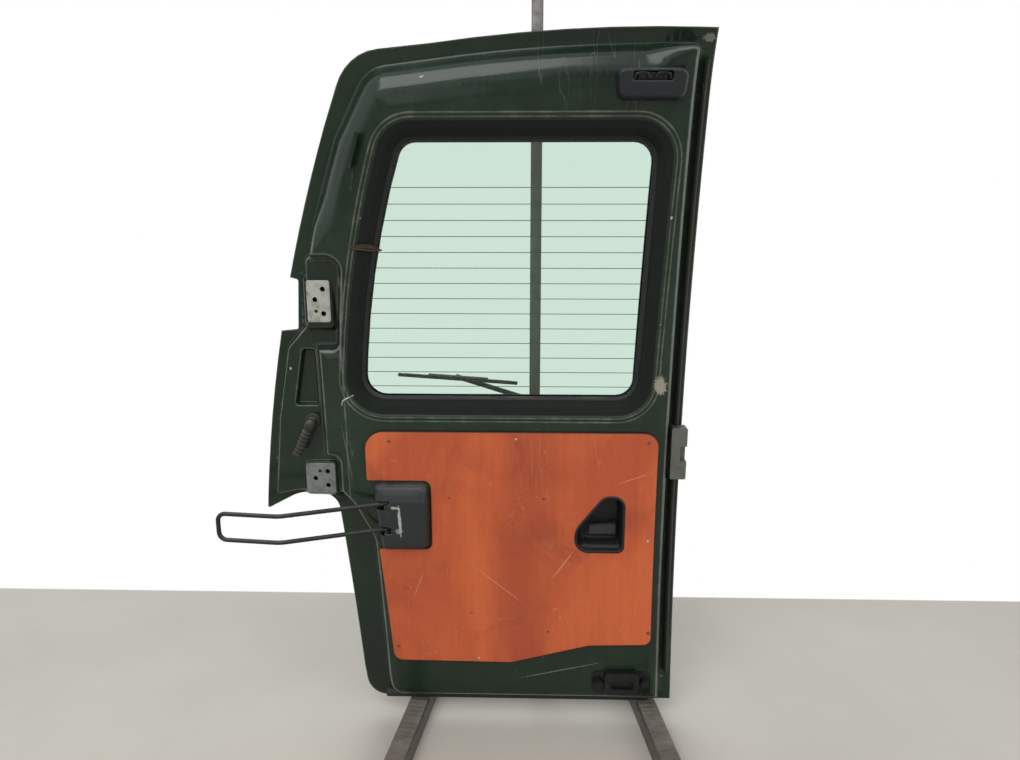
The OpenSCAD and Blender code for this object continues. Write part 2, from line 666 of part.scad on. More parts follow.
// The blade's own frame: x along the blade, y outward
module on_blade() {
  on_glass() spin() translate([blade_c[0], 0, blade_c[1]]) rotate([0, blade_a, 0]) children();
}
module wiper_blade_frame() color(black) on_blade() {
  difference() {
    translate([-blade_l / 4, 8, -4]) cube([blade_l / 2, arm_y + 4 - 8, 8]);
    for (s = [-1, 1]) translate([s * blade_l / 7 - blade_l / 16, 6, -2]) cube([blade_l / 8, arm_y, 4]);
  }
  for (s = [-1, 1]) translate([s * blade_l / 4 - blade_l / 5, 6.5, -3]) cube([blade_l * 2 / 5, 1.5, 6]);
}
module wiper_rubber() color([0.03, 0.03, 0.03]) on_blade() {
  translate([-blade_l / 2, 4, -3]) cube([blade_l, 2.5, 6]);
  translate([-blade_l / 2, 0.5, -0.6]) cube([blade_l, 3.5, 1.2]);
}

// Outer handle

grip_x = 110;
grip_z = 500;
grip_l = 80;
grip_h = 28;
bezel_t = 8;
bezel_h = 68;
bezel_key_w = 39;
bezel_rim = 16;
scoop_gap = 4;
// Frame that lies flat on the skin at a height
module on_skin(z) {
  translate([0, skin_y(z), z]) rotate([asin((z - bow_z) / bow_r), 0, 0]) children();
}
scoop_h = 8;
grip_post = 16;
module outer_handle_bezel() color(black) on_skin(grip_z) translate([-grip_x, 0, 0]) difference() {
  block(-grip_l / 2 - bezel_key_w, grip_l / 2 + scoop_gap + bezel_rim, -bezel_h / 2, bezel_h / 2,
    0, bezel_t, 14);
  block(-grip_l / 2 - scoop_gap, grip_l / 2 + scoop_gap, -grip_h / 2 - scoop_h, grip_h / 2 + scoop_h,
    1.5, 30, 10);
}
module outer_handle_grip() color(black) on_skin(grip_z) translate([-grip_x, 0, 0]) difference() {
  block(-grip_l / 2, grip_l / 2, -grip_h / 2, grip_h / 2, 1.5, 26, 12);
  block(-grip_l / 2 + grip_post, grip_l / 2 - grip_post, -grip_h, grip_h, 8, 18, 4);
}
module key_barrel() color([0.7, 0.7, 0.7]) on_skin(grip_z)
  translate([-grip_x - grip_l / 2 - bezel_key_w / 2, bezel_t, 0]) rotate([-90, 0, 0]) cylinder(h = 4, r = 11);

// Stand

mast_y = mast_gap;
bar_t = 4;
bar_top_z = floor_z + foot_h + bar_t;
module stand_mast() color(steel)
  translate([-mast_x - mast_w / 2, mast_y, bar_top_z]) cube([mast_w, mast_w, mast_top_z - bar_top_z]);
module mast_bumper() color(black) difference() {
  block(-mast_x - 20, -mast_x + 20, bow_z - 35, bow_z + 35, -5, mast_y, 4);
  band(0, 60, -400, -100);
}
module stand_crossbar() color(steel)
  translate([-mast_x - foot_x - 30, mast_y, floor_z + foot_h]) cube([2 * foot_x + 60, mast_w, bar_t]);
module foot_frame(s) {
  translate([-mast_x + s * foot_x, 0, floor_z]) rotate([0, 0, s * foot_a]) children();
}
module foot(s) foot_frame(s)
  translate([-foot_w / 2, -foot_front, 0]) cube([foot_w, foot_front + foot_back, foot_h]);
// Rubber tread with ribs across it, as long as the door needs to stand on
tread_l = foot_front + 26;
rib_w = 6;
rib_h = 1.5;
module tread(s) foot_frame(s) translate([-foot_w / 2 + 3, -foot_front + 4, foot_h]) {
  cube([foot_w - 6, tread_l, tread_t - rib_h]);
  for (k = [0:floor((tread_l - rib_w) / rib_step)])
    translate([0, k * rib_step, 0]) cube([foot_w - 6, rib_w, tread_t]);
}
module foot_left() color(steel) foot(-1);
module foot_right() color(steel) foot(1);
module foot_tread_left() color(black) tread(-1);
module foot_tread_right() color(black) tread(1);

// Whole part: its origin is the middle of its footprint on the floor

reach_left = end_p[0] - wire_d / 2;
reach_right = -mast_x + foot_x + foot_front * sin(foot_a) + foot_w / 2 * cos(foot_a);
reach_front = -foot_front * cos(foot_a) - foot_w / 2 * sin(foot_a);
reach_back = foot_back * cos(foot_a) + foot_w / 2 * sin(foot_a);
module place() {
  translate([-(reach_left + reach_right) / 2, -(reach_front + reach_back) / 2, -floor_z]) children();
}
place() outer_skin();
place() inner_pressing();
place() hinge_plate_upper();
place() hinge_plate_lower();
place() window_glass();
place() window_seal();
place() trim_board();
place() check_cover();
place() check_bracket();
place() check_loop();
place() handle_cup();
place() handle_lever();
place() top_latch_cover();
place() top_latch();
place() bottom_latch();
place() centre_lock();
place() meeting_seal();
place() bottom_seal();
place() loom_grommet();
place() loom_boot();
place() guide_fin();
place() wiper_housing();
place() wiper_arm();
place() wiper_blade_frame();
place() wiper_rubber();
place() outer_handle_bezel();
place() outer_handle_grip();
place() key_barrel();
place() stand_mast();
place() mast_bumper();
place() stand_crossbar();
place() foot_left();
place() foot_right();
place() foot_tread_left();
place() foot_tread_right();
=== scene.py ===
"""Dresses the campervan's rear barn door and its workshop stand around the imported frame."""

import logging
import math
from collections.abc import Callable, Sequence
from dataclasses import dataclass
from enum import Enum

import bpy
import numpy as np
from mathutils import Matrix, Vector
from mathutils.geometry import delaunay_2d_cdt


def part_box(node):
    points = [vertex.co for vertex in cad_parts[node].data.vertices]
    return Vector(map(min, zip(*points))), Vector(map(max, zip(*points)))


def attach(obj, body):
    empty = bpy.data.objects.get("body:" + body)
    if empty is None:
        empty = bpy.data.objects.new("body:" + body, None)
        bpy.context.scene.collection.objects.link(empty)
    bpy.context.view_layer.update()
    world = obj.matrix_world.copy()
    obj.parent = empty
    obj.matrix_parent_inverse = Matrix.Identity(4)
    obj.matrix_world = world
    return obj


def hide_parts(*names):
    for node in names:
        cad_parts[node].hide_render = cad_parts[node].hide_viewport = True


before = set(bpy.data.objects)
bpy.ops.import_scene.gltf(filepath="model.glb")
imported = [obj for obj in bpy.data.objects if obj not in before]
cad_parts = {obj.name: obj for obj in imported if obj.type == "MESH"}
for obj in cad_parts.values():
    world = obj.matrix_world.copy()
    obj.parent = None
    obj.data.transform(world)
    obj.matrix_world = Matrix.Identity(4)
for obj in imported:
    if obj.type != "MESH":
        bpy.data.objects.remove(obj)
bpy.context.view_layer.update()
LOG = logging.getLogger("rear_door")
MM = 0.001
ROOT = "root"
BODY_CHECK = "check"
SKIN_LOW, SKIN_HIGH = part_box("outer_skin")
SHIFT = np.array([SKIN_HIGH.x / MM, SKIN_HIGH.y / MM, SKIN_LOW.z / MM])
SHARP = math.radians(38)
Depth = Callable[[np.ndarray], np.ndarray]
Face = Sequence[int]
Solid = tuple[np.ndarray, list[Face]]
Rgb = tuple[float, float, float]


# Geometry helpers


def to_row(points: np.ndarray) -> np.ndarray:
    """Takes points of the door's own frame, in millimetres, to the row frame, in metres."""
    return (np.asarray(points, float) + SHIFT) * MM


def unit(v: np.ndarray) -> np.ndarray:
    """Scales vectors to length one along their last axis."""
    v = np.asarray(v, float)
    return v / np.maximum(np.linalg.norm(v, axis=-1, keepdims=True), 1e-12)


def corner(a: np.ndarray, b: np.ndarray, c: np.ndarray, radius: float, steps: int) -> list[np.ndarray]:
    """Rounds one corner of a path.

    Args:
        a: The neighbour before the corner.
        b: The corner.
        c: The neighbour after it.
        radius: Radius of the rounding.
        steps: Segments of the arc.

    Returns:
        The points that take the corner's place.
    """
    if radius <= 0:
        return [b]
    u = unit(a - b)
    v = unit(c - b)
    half = math.acos(float(np.clip(u @ v, -1, 1))) / 2
    centre = b + unit(u + v) * (radius / math.sin(half))
    p = b + u * radius / math.tan(half) - centre
    q = b + v * radius / math.tan(half) - centre
    sweep = math.pi - 2 * half
    turns = [i / steps * sweep for i in range(steps + 1)]
    return [centre + (p * math.sin(sweep - t) + q * math.sin(t)) / math.sin(sweep) for t in turns]


def rounded(points: Sequence[Sequence[float]], steps: int = 8) -> np.ndarray:
    """Makes a closed path from corners given as x, z and radius.

    Args:
        points: The corners.
        steps: Segments of each rounded corner.

    Returns:
        The path's points, one row each.
    """
    rows = [np.array(p[:2], float) for p in points]
    count = len(points)
    path = []
    for i, p in enumerate(points):
        radius = p[2] if len(p) > 2 else 0
        path += corner(rows[i - 1], rows[i], rows[(i + 1) % count], radius, steps)
    return np.array(path)


def resample(path: np.ndarray, step: float, closed: bool = True) -> np.ndarray:
    """Spaces a path's points evenly, about one step apart.

    Args:
        path: The path.
        step: The spacing that is wanted.
        closed: Whether the path's end meets its start.

    Returns:
        The evenly spaced points.
    """
    loop = np.vstack([path, path[:1]]) if closed else np.asarray(path, float)
    run = np.concatenate([[0], np.cumsum(np.linalg.norm(np.diff(loop, axis=0), axis=1))])
    count = max(int(round(run[-1] / step)), 3)
    at = np.linspace(0, run[-1], count + (0 if closed else 1), endpoint=not closed)
    return np.stack([np.interp(at, run, loop[:, k]) for k in range(loop.shape[1])], axis=1)


def signed_distance(points: np.ndarray, path: np.ndarray) -> np.ndarray:
    """Measures how far points lie from a closed path.

    Args:
        points: Points in x and z.
        path: The closed path.

    Returns:
        The distances, positive outside and negative inside.
    """
    a = path
    b = np.roll(path, -1, axis=0)
    run = b - a
    length = np.maximum((run**2).sum(1), 1e-12)
    out = np.empty(len(points))
    chunk = 4000
    for i in range(0, len(points), chunk):
        p = points[i:i + chunk, None, :]
        t = np.clip(((p - a) * run).sum(2) / length, 0, 1)
        gap = np.sqrt((((a + t[..., None] * run) - p)**2).sum(2)).min(1)
        above = (a[:, 1] > p[..., 1]) != (b[:, 1] > p[..., 1])
        rise = np.where(np.abs(run[:, 1]) < 1e-12, 1e-12, run[:, 1])
        left = p[..., 0] < a[:, 0] + (p[..., 1] - a[:, 1]) / rise * run[:, 0]
        inside = (above & left).sum(1) % 2 == 1
        out[i:i + chunk] = np.where(inside, -gap, gap)
    return out


def inset(path: np.ndarray, distance: float) -> np.ndarray:
    """Moves a closed path inward, or outward where the distance is negative.

    Args:
        path: The closed path.
        distance: How far it moves.

    Returns:
        The moved path.
    """
    ahead = unit(np.roll(path, -1, axis=0) - path)
    behind = unit(path - np.roll(path, 1, axis=0))
    along = unit(ahead + behind)
    turn = np.sign((path[:, 0] * np.roll(path[:, 1], -1) - path[:, 1] * np.roll(path[:, 0], -1)).sum())
    normal = turn * np.stack([-along[:, 1], along[:, 0]], axis=1)
    stretch = np.clip((along * ahead).sum(1), 0.35, 1)
    return path + normal * (distance / stretch)[:, None]


def soft_max(a: np.ndarray, b: np.ndarray, k: float) -> np.ndarray:
    """Takes the larger of two values, blended over a span of k."""
    return np.maximum(a, b) + np.maximum(k - np.abs(a - b), 0)**2 / (4 * k)


def soft_min(a: np.ndarray, b: np.ndarray, k: float) -> np.ndarray:
    """Takes the smaller of two values, blended over a span of k."""
    return -soft_max(-np.asarray(a), -np.asarray(b), k)


@dataclass(frozen=True)
class Profile:
    """A cross-section as straight runs with rounded joints.

    Attributes:
        points: Pairs of distance and depth.
        blur: Width over which the joints are rounded.
    """
    points: tuple[tuple[float, float], ...]
    blur: float = 2.0

    def __call__(self, at: np.ndarray) -> np.ndarray:
        """Reads the rounded section at distances.

        Args:
            at: Distances along the section.

        Returns:
            The depth at each.
        """
        xs = np.array([p[0] for p in self.points])
        ys = np.array([p[1] for p in self.points])
        offsets = np.linspace(-1, 1, 9) * self.blur
        weights = np.cos(np.linspace(-1, 1, 9) * math.pi / 2 * 0.9)
        total = sum(w * np.interp(at + o, xs, ys) for o, w in zip(offsets, weights))
        return total / weights.sum()


@dataclass(frozen=True)
class DoorForm:
    """The driving lines of the door, in millimetres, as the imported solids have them."""
    height: float = 1195
    side_radius: float = 2300
    side_reach: float = 779
    side_level: float = 188
    crown_radius: float = 2800
    crown_x: float = 100
    roof_corner: float = 85
    wing_tip: float = 376
    lamp_top: float = 411
    low_width: float = 592
    bow_radius: float = 3000
    bow_level: float = 395
    roll_radius: float = 320
    roll_drop: float = 95
    sheet: float = 1.5
    depth: float = 46
    bay_depth: float = 20
    hem: float = 22
    side_hem: float = 38
    window_low: float = 602
    window_top: float = 1037
    window_x: float = 80
    window_rake: float = 12
    window_radius: float = 1500
    window_reach: float = 574
    window_corner: float = 32
    window_level: float = 528
    notch: tuple[float, float] = (721, 815)

    def surface(self, z: np.ndarray, depth: np.ndarray | float = 0) -> np.ndarray:
        """Gives y of the door's curve at heights and depths below the outer skin.

        Args:
            z: Heights.
            depth: Depths below the outer skin.

        Returns:
            The place y at each.
        """
        z = np.asarray(z, float)
        roll_z = self.height - self.roll_drop
        angle = math.asin((roll_z - self.bow_level) / self.bow_radius)
        centre_y = -self.bow_radius + (self.bow_radius - self.roll_radius) * math.cos(angle)
        centre_z = self.bow_level + (self.bow_radius - self.roll_radius) * math.sin(angle)
        bow = np.sqrt((self.bow_radius - depth)**2 - (z - self.bow_level)**2) - self.bow_radius
        inner = np.maximum((self.roll_radius - depth)**2 - (z - centre_z)**2, 1.0)
        roll = centre_y + np.sqrt(inner)
        switch = self.bow_level + (self.bow_radius - depth) * math.sin(angle)
        return np.where(z < switch, bow, roll)

    def lift(self, points: np.ndarray, depth: np.ndarray | float) -> np.ndarray:
        """Takes points in x and z to the door's curve at a depth.

        Args:
            points: Points in x and z.
            depth: Depths below the outer skin.

        Returns:
            The points in space.
        """
        points = np.asarray(points, float)
        y = self.surface(points[:, 1], depth)
        return np.stack([points[:, 0], y, points[:, 1]], axis=1)

    def side_x(self, z: float, i: float = 0) -> float:
        """Gives x of the hinge-side edge at a height, inset by i."""
        reach = math.sqrt((self.side_radius - i)**2 - (z - self.side_level)**2)
        return -self.side_reach + self.side_radius - reach

    def side_path(self, z0: float, z1: float, i: float, count: int) -> list[tuple[float, float, float]]:
        """Gives corners along the hinge-side edge between two heights."""
        heights = [z0 + (z1 - z0) * k / count for k in range(count + 1)]
        return [(self.side_x(z, i), z, 0) for z in heights]

    def crown_z(self, x: float, i: float = 0) -> float:
        """Gives z of the roof edge at a place, inset by i."""
        rise = math.sqrt((self.crown_radius - i)**2 - (x + self.crown_x)**2)
        return self.height - self.crown_radius + rise

    def crown_path(self, x0: float, x1: float, i: float, count: int) -> list[tuple[float, float, float]]:
        """Gives corners along the roof edge between two places."""
        places = [x0 + (x1 - x0) * k / count for k in range(count + 1)]
        return [(x, self.crown_z(x, i), 0) for x in places]

    def roof_point(self, i: float) -> tuple[float, float, float]:
        """Gives the rounded roof corner on the hinge side, inset by i."""
        level = self.height - 31
        return (self.side_x(level, i) + i * 0.25, level - i, self.roof_corner - i)

    def door_path(self, i: float = 0) -> np.ndarray:
        """Gives the outline of the whole door, inset by i.

        Args:
            i: How far inside the real line.

        Returns:
            The closed path.
        """
        low, high = self.notch
        return rounded([
            (-i, i, 0), (-i, self.crown_z(0, i), 0),
            *self.crown_path(-20, -430, i, 12), self.roof_point(i),
            *self.side_path(self.height - 135, high, i, 10),
            (self.side_x(high) + 14 + i, high - 4 + i, 4), (self.side_x(low) + 30 + i, low + 2 - i, 4),
            *self.side_path(low - 1, self.wing_tip + 30, i, 10),
            (self.side_x(self.wing_tip) + i, self.wing_tip + i * 1.3, 3), (-706, self.lamp_top + i, 70 - i),
            (-636, self.lamp_top - 5 + i, 34), (-self.low_width - 4 + i, 60, 0),
            (-self.low_width + 6 + i, i, 40 - i)])

    def window_side(self, z: float, g: float) -> float:
        """Gives x of the window's curved side at a height, grown by g."""
        reach = math.sqrt((self.window_radius + g)**2 - (z - self.window_level)**2)
        return -self.window_reach + self.window_radius - reach

    def window_path(self, g: float = 0) -> np.ndarray:
        """Gives the outline of the window opening, grown by g.

        Args:
            g: How far outside the real line.

        Returns:
            The closed path.
        """
        low, top, round_r = self.window_low, self.window_top, self.window_corner
        heights = [top - (top - low) * k / 10 for k in range(1, 10)]
        return rounded([
            (-self.window_x - self.window_rake + g, low - g, round_r + g),
            (-self.window_x + g, top + g, round_r + g),
            (self.window_side(top, g), top + g, round_r + g),
            *[(self.window_side(z, g), z, 0) for z in heights],
            (self.window_side(low, g), low - g, round_r + g + 4)])


FORM = DoorForm()


def add_piece(name: str, mesh: bpy.types.Mesh, finish: "Finish", body: str = ROOT,
              stands_for: Sequence[str] = ()) -> bpy.types.Object:
    """Adds a mesh to the scene as a piece of the object.

    Args:
        name: The piece's name.
        mesh: Its mesh, in the row frame.
        finish: Its finish.
        body: The CAD body that it rides on.
        stands_for: The CAD nodes that it stands for.

    Returns:
        The new object.
    """
    piece = bpy.data.objects.new(name, mesh)
    bpy.context.scene.collection.objects.link(piece)
    mesh.materials.append(finish.material())
    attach(piece, body)
    if stands_for:
        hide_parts(*stands_for)
    LOG.info("%s: %d faces on %s", name, len(mesh.polygons), body)
    return piece


def plain_mesh(name: str, points: np.ndarray, faces: list[Face], sharp: float = SHARP) -> bpy.types.Mesh:
    """Makes a smooth mesh with sharp edges where faces meet at more than an angle.

    Args:
        name: The mesh's name.
        points: Points of the door's own frame, in millimetres.
        faces: Their faces.
        sharp: The angle from which an edge is sharp.

    Returns:
        The mesh, in the row frame.
    """
    mesh = bpy.data.meshes.new(name)
    mesh.from_pydata(to_row(points).tolist(), [], [list(map(int, f)) for f in faces])
    mesh.shade_smooth()
    mesh.set_sharp_from_angle(angle=sharp)
    return mesh


def join_parts(parts: list[Solid]) -> Solid:
    """Joins several lists of points and faces into one.

    Args:
        parts: The lists of points and faces.

    Returns:
        The joined points and faces.
    """
    points, faces, base = [], [], 0
    for p, f in parts:
        points.append(np.asarray(p, float))
        faces += [[i + base for i in face] for face in f]
        base += len(p)
    return np.vstack(points), faces


@dataclass
class Relief:
    """A pressed or moulded sheet, drawn as a depth over the door's curve.

    Attributes:
        outline: Its closed outer path.
        depth: Depth of its front face at points.
        back: Depth of its back face at points, given the front's depth there.
        holes: Closed paths cut through it.
        rings: Paths whose points the mesh follows.
        grid: Spacing of the points between the rings.
        edge: Spacing of the points along its paths.
        surface: Gives y at heights and depths.
    """
    outline: np.ndarray
    depth: Depth
    back: Callable[[np.ndarray, np.ndarray], np.ndarray]
    holes: Sequence[np.ndarray] = ()
    rings: Sequence[np.ndarray] = ()
    grid: float = 12
    edge: float = 6
    surface: Callable[[np.ndarray, np.ndarray], np.ndarray] = FORM.surface

    def lift(self, flat: np.ndarray, depth: np.ndarray) -> np.ndarray:
        """Takes points in x and z to the surface at a depth."""
        return np.column_stack([flat[:, 0], self.surface(flat[:, 1], depth), flat[:, 1]])

    def points(self) -> tuple[np.ndarray, np.ndarray]:
        """Gives the mesh's points in x and z, and its triangles.

        Returns:
            The points and the triangles between them.
        """
        border = [resample(p, self.edge) for p in (self.outline, *self.holes)]
        inner = []
        for ring in self.rings:
            dense = resample(ring, self.edge)
            keep = signed_distance(dense, self.outline) < -0.3
            for hole in self.holes:
                keep &= signed_distance(dense, hole) > 0.3
            inner.append(dense[keep])
        low, high = self.outline.min(0), self.outline.max(0)
        xs, zs = np.meshgrid(np.arange(low[0], high[0], self.grid), np.arange(low[1], high[1], self.grid))
        xs = xs + (np.arange(len(xs)) % 2)[:, None] * self.grid / 2
        filler = np.stack([xs.ravel(), zs.ravel()], axis=1)
        keep = signed_distance(filler, self.outline) < -self.edge * 0.6
        for hole in self.holes:
            keep &= signed_distance(filler, hole) > self.edge * 0.6
        filler = filler[keep]
        if inner and len(filler):
            taken = np.vstack(inner)
            far = np.ones(len(filler), bool)
            for i in range(0, len(filler), 2000):
                gap = np.abs(filler[i:i + 2000, None, :] - taken[None]).max(2).min(1)
                far[i:i + 2000] = gap > self.edge * 0.5
            filler = filler[far]
        edges, at = [], 0
        for loop in border:
            edges += [(at + k, at + (k + 1) % len(loop)) for k in range(len(loop))]
            at += len(loop)
        cloud = np.vstack([*border, *inner, filler])
        found = delaunay_2d_cdt([Vector(p) for p in cloud], edges, [], 0, 1e-4)
        flat = np.array([tuple(v) for v in found[0]])
        faces = np.array([f for f in found[2] if len(f) == 3], int)
        middle = flat[faces].mean(1)
        keep = signed_distance(middle, resample(self.outline, self.edge)) < 0
        for hole in self.holes:
            keep &= signed_distance(middle, resample(hole, self.edge)) > 0
        return flat, faces[keep]

    def slope(self, flat: np.ndarray, reach: float = 0.35) -> np.ndarray:
        """Gives the front face's normals at points, from small steps to each side.

        Args:
            flat: Points in x and z.
            reach: The step.

        Returns:
            The normals.
        """
        def height(dx: float, dz: float) -> np.ndarray:
            """Gives y of the front face a small step away."""
            moved = flat + np.array([dx, dz])
            return self.surface(moved[:, 1], self.depth(moved))
        along = (height(reach, 0) - height(-reach, 0)) / (2 * reach)
        up = (height(0, reach) - height(0, -reach)) / (2 * reach)
        return unit(np.stack([along, -np.ones(len(flat)), up], axis=1))

    def build(self, name: str, marks: dict[str, Depth] | None = None, smooth: bool = True) -> bpy.types.Mesh:
        """Builds the closed sheet.

        Args:
            name: The mesh's name.
            marks: Named values that the finish reads at each point.
            smooth: Whether the front takes its shading from the form itself.

        Returns:
            The mesh.
        """
        flat, tris = self.points()
        front_depth = self.depth(flat)
        back_depth = self.back(flat, front_depth)
        count = len(flat)
        points = np.vstack([self.lift(flat, front_depth), self.lift(flat, back_depth)])
        a, b, c = flat[tris[:, 0]], flat[tris[:, 1]], flat[tris[:, 2]]
        turn = (b[:, 0] - a[:, 0]) * (c[:, 1] - a[:, 1]) - (b[:, 1] - a[:, 1]) * (c[:, 0] - a[:, 0])
        tris = np.where((turn > 0)[:, None], tris, tris[:, ::-1])
        sides = np.vstack([tris[:, [0, 1]], tris[:, [1, 2]], tris[:, [2, 0]]])
        key = np.sort(sides, axis=1)
        _, index, copies = np.unique(key, axis=0, return_index=True, return_counts=True)
        rim = sides[index[copies == 1]]
        faces = tris.tolist() + (tris[:, ::-1] + count).tolist()
        faces += [[q, p, p + count, q + count] for p, q in rim.tolist()]
        mesh = bpy.data.meshes.new(name)
        mesh.from_pydata(to_row(points).tolist(), [], faces)
        mesh.shade_smooth()
        if smooth:
            normal = self.slope(flat)
            flat_sides = np.zeros((len(rim) * 4, 3))
            loops = np.vstack([normal[tris.ravel()], -normal[tris[:, ::-1].ravel()], flat_sides])
            mesh.normals_split_custom_set(loops.tolist())
        else:
            mesh.set_sharp_from_angle(angle=SHARP)
        for label, measure in (marks or {}).items():
            layer = mesh.attributes.new(label, "FLOAT", "POINT")
            value = measure(flat)
            layer.data.foreach_set("value", np.concatenate([value, value]).astype(np.float32))
        return mesh


def tube(path: np.ndarray, radius: float | np.ndarray, sides: int = 16, closed: bool = False) -> Solid:
    """Sweeps a round section along a path.

    Args:
        path: The path's points.
        radius: The section's radius, or one for each point.
        sides: Sides of the section.
        closed: Whether the path's end meets its start.

    Returns:
        The tube's points and faces.
    """
    path = np.asarray(path, float)
    radii = np.broadcast_to(radius, len(path))
    after = np.roll(path, -1, axis=0) if closed else np.vstack([path[1:], 2 * path[-1] - path[-2]])
    before = np.roll(path, 1, axis=0) if closed else np.vstack([2 * path[0] - path[1], path[:-1]])
    along = unit(after - before)
    across = np.cross(along[0], [0, 0, 1]) if abs(along[0][2]) < 0.9 else np.cross(along[0], [1, 0, 0])
    rings = []
    for p, t, r in zip(path, along, radii):
        across = unit(across - t * (across @ t))
        up = np.cross(t, across)
        turn = np.linspace(0, 2 * math.pi, sides, endpoint=False)
        rings.append(p + r * (np.cos(turn)[:, None] * across + np.sin(turn)[:, None] * up))
    return loft(rings, closed)


def loft(rings: Sequence[np.ndarray], closed: bool = False) -> Solid:
    """Joins rings of as many points each into one surface.

    Args:
        rings: The rings.
        closed: Whether the last ring meets the first, instead of ending in caps.

    Returns:
        The points and faces.
    """
    n = len(rings[0])
    count = len(rings)
    faces = []
    for k in range(count if closed else count - 1):
        low, high = k * n, (k + 1) % count * n
        faces += [(low + i, low + (i + 1) % n, high + (i + 1) % n, high + i) for i in range(n)]
    if not closed:
        faces += [tuple(range(n))[::-1], tuple(range((count - 1) * n, count * n))]
    return np.vstack(rings), faces


# Shader helpers


class Value:
    """A socket of a finish, with arithmetic that adds Math nodes."""

    def __init__(self, shader: "Shader", socket: bpy.types.NodeSocket) -> None:
        """Wraps a node's output."""
        self.shader = shader
        self.socket = socket

    def _math(self, operation: str, *values: "Value | float") -> "Value":
        """Adds one Math node."""
        return self.shader.node("Math", {"operation": operation}, dict(enumerate(values)))

    def __add__(self, other: "Value | float") -> "Value":
        """Adds."""
        return self._math("ADD", self, other)

    def __sub__(self, other: "Value | float") -> "Value":
        """Subtracts."""
        return self._math("SUBTRACT", self, other)

    def __mul__(self, other: "Value | float") -> "Value":
        """Multiplies."""
        return self._math("MULTIPLY", self, other)

    def __pow__(self, other: "Value | float") -> "Value":
        """Raises to a power."""
        return self._math("POWER", self, other)

    def __rsub__(self, other: float) -> "Value":
        """Subtracts from a number."""
        return self._math("SUBTRACT", other, self)

    __radd__ = __add__
    __rmul__ = __mul__

    def low(self, other: "Value | float") -> "Value":
        """Takes the smaller of two values."""
        return self._math("MINIMUM", self, other)

    def high(self, other: "Value | float") -> "Value":
        """Takes the larger of two values."""
        return self._math("MAXIMUM", self, other)

    def size(self) -> "Value":
        """Drops the sign."""
        return self._math("ABSOLUTE", self)

    def step(self, start: float, end: float) -> "Value":
        """Rises softly from 0 at start to 1 at end."""
        settings = {"interpolation_type": "SMOOTHSTEP"}
        return self.shader.node("MapRange", settings, {0: self, 1: start, 2: end, 3: 0.0, 4: 1.0})


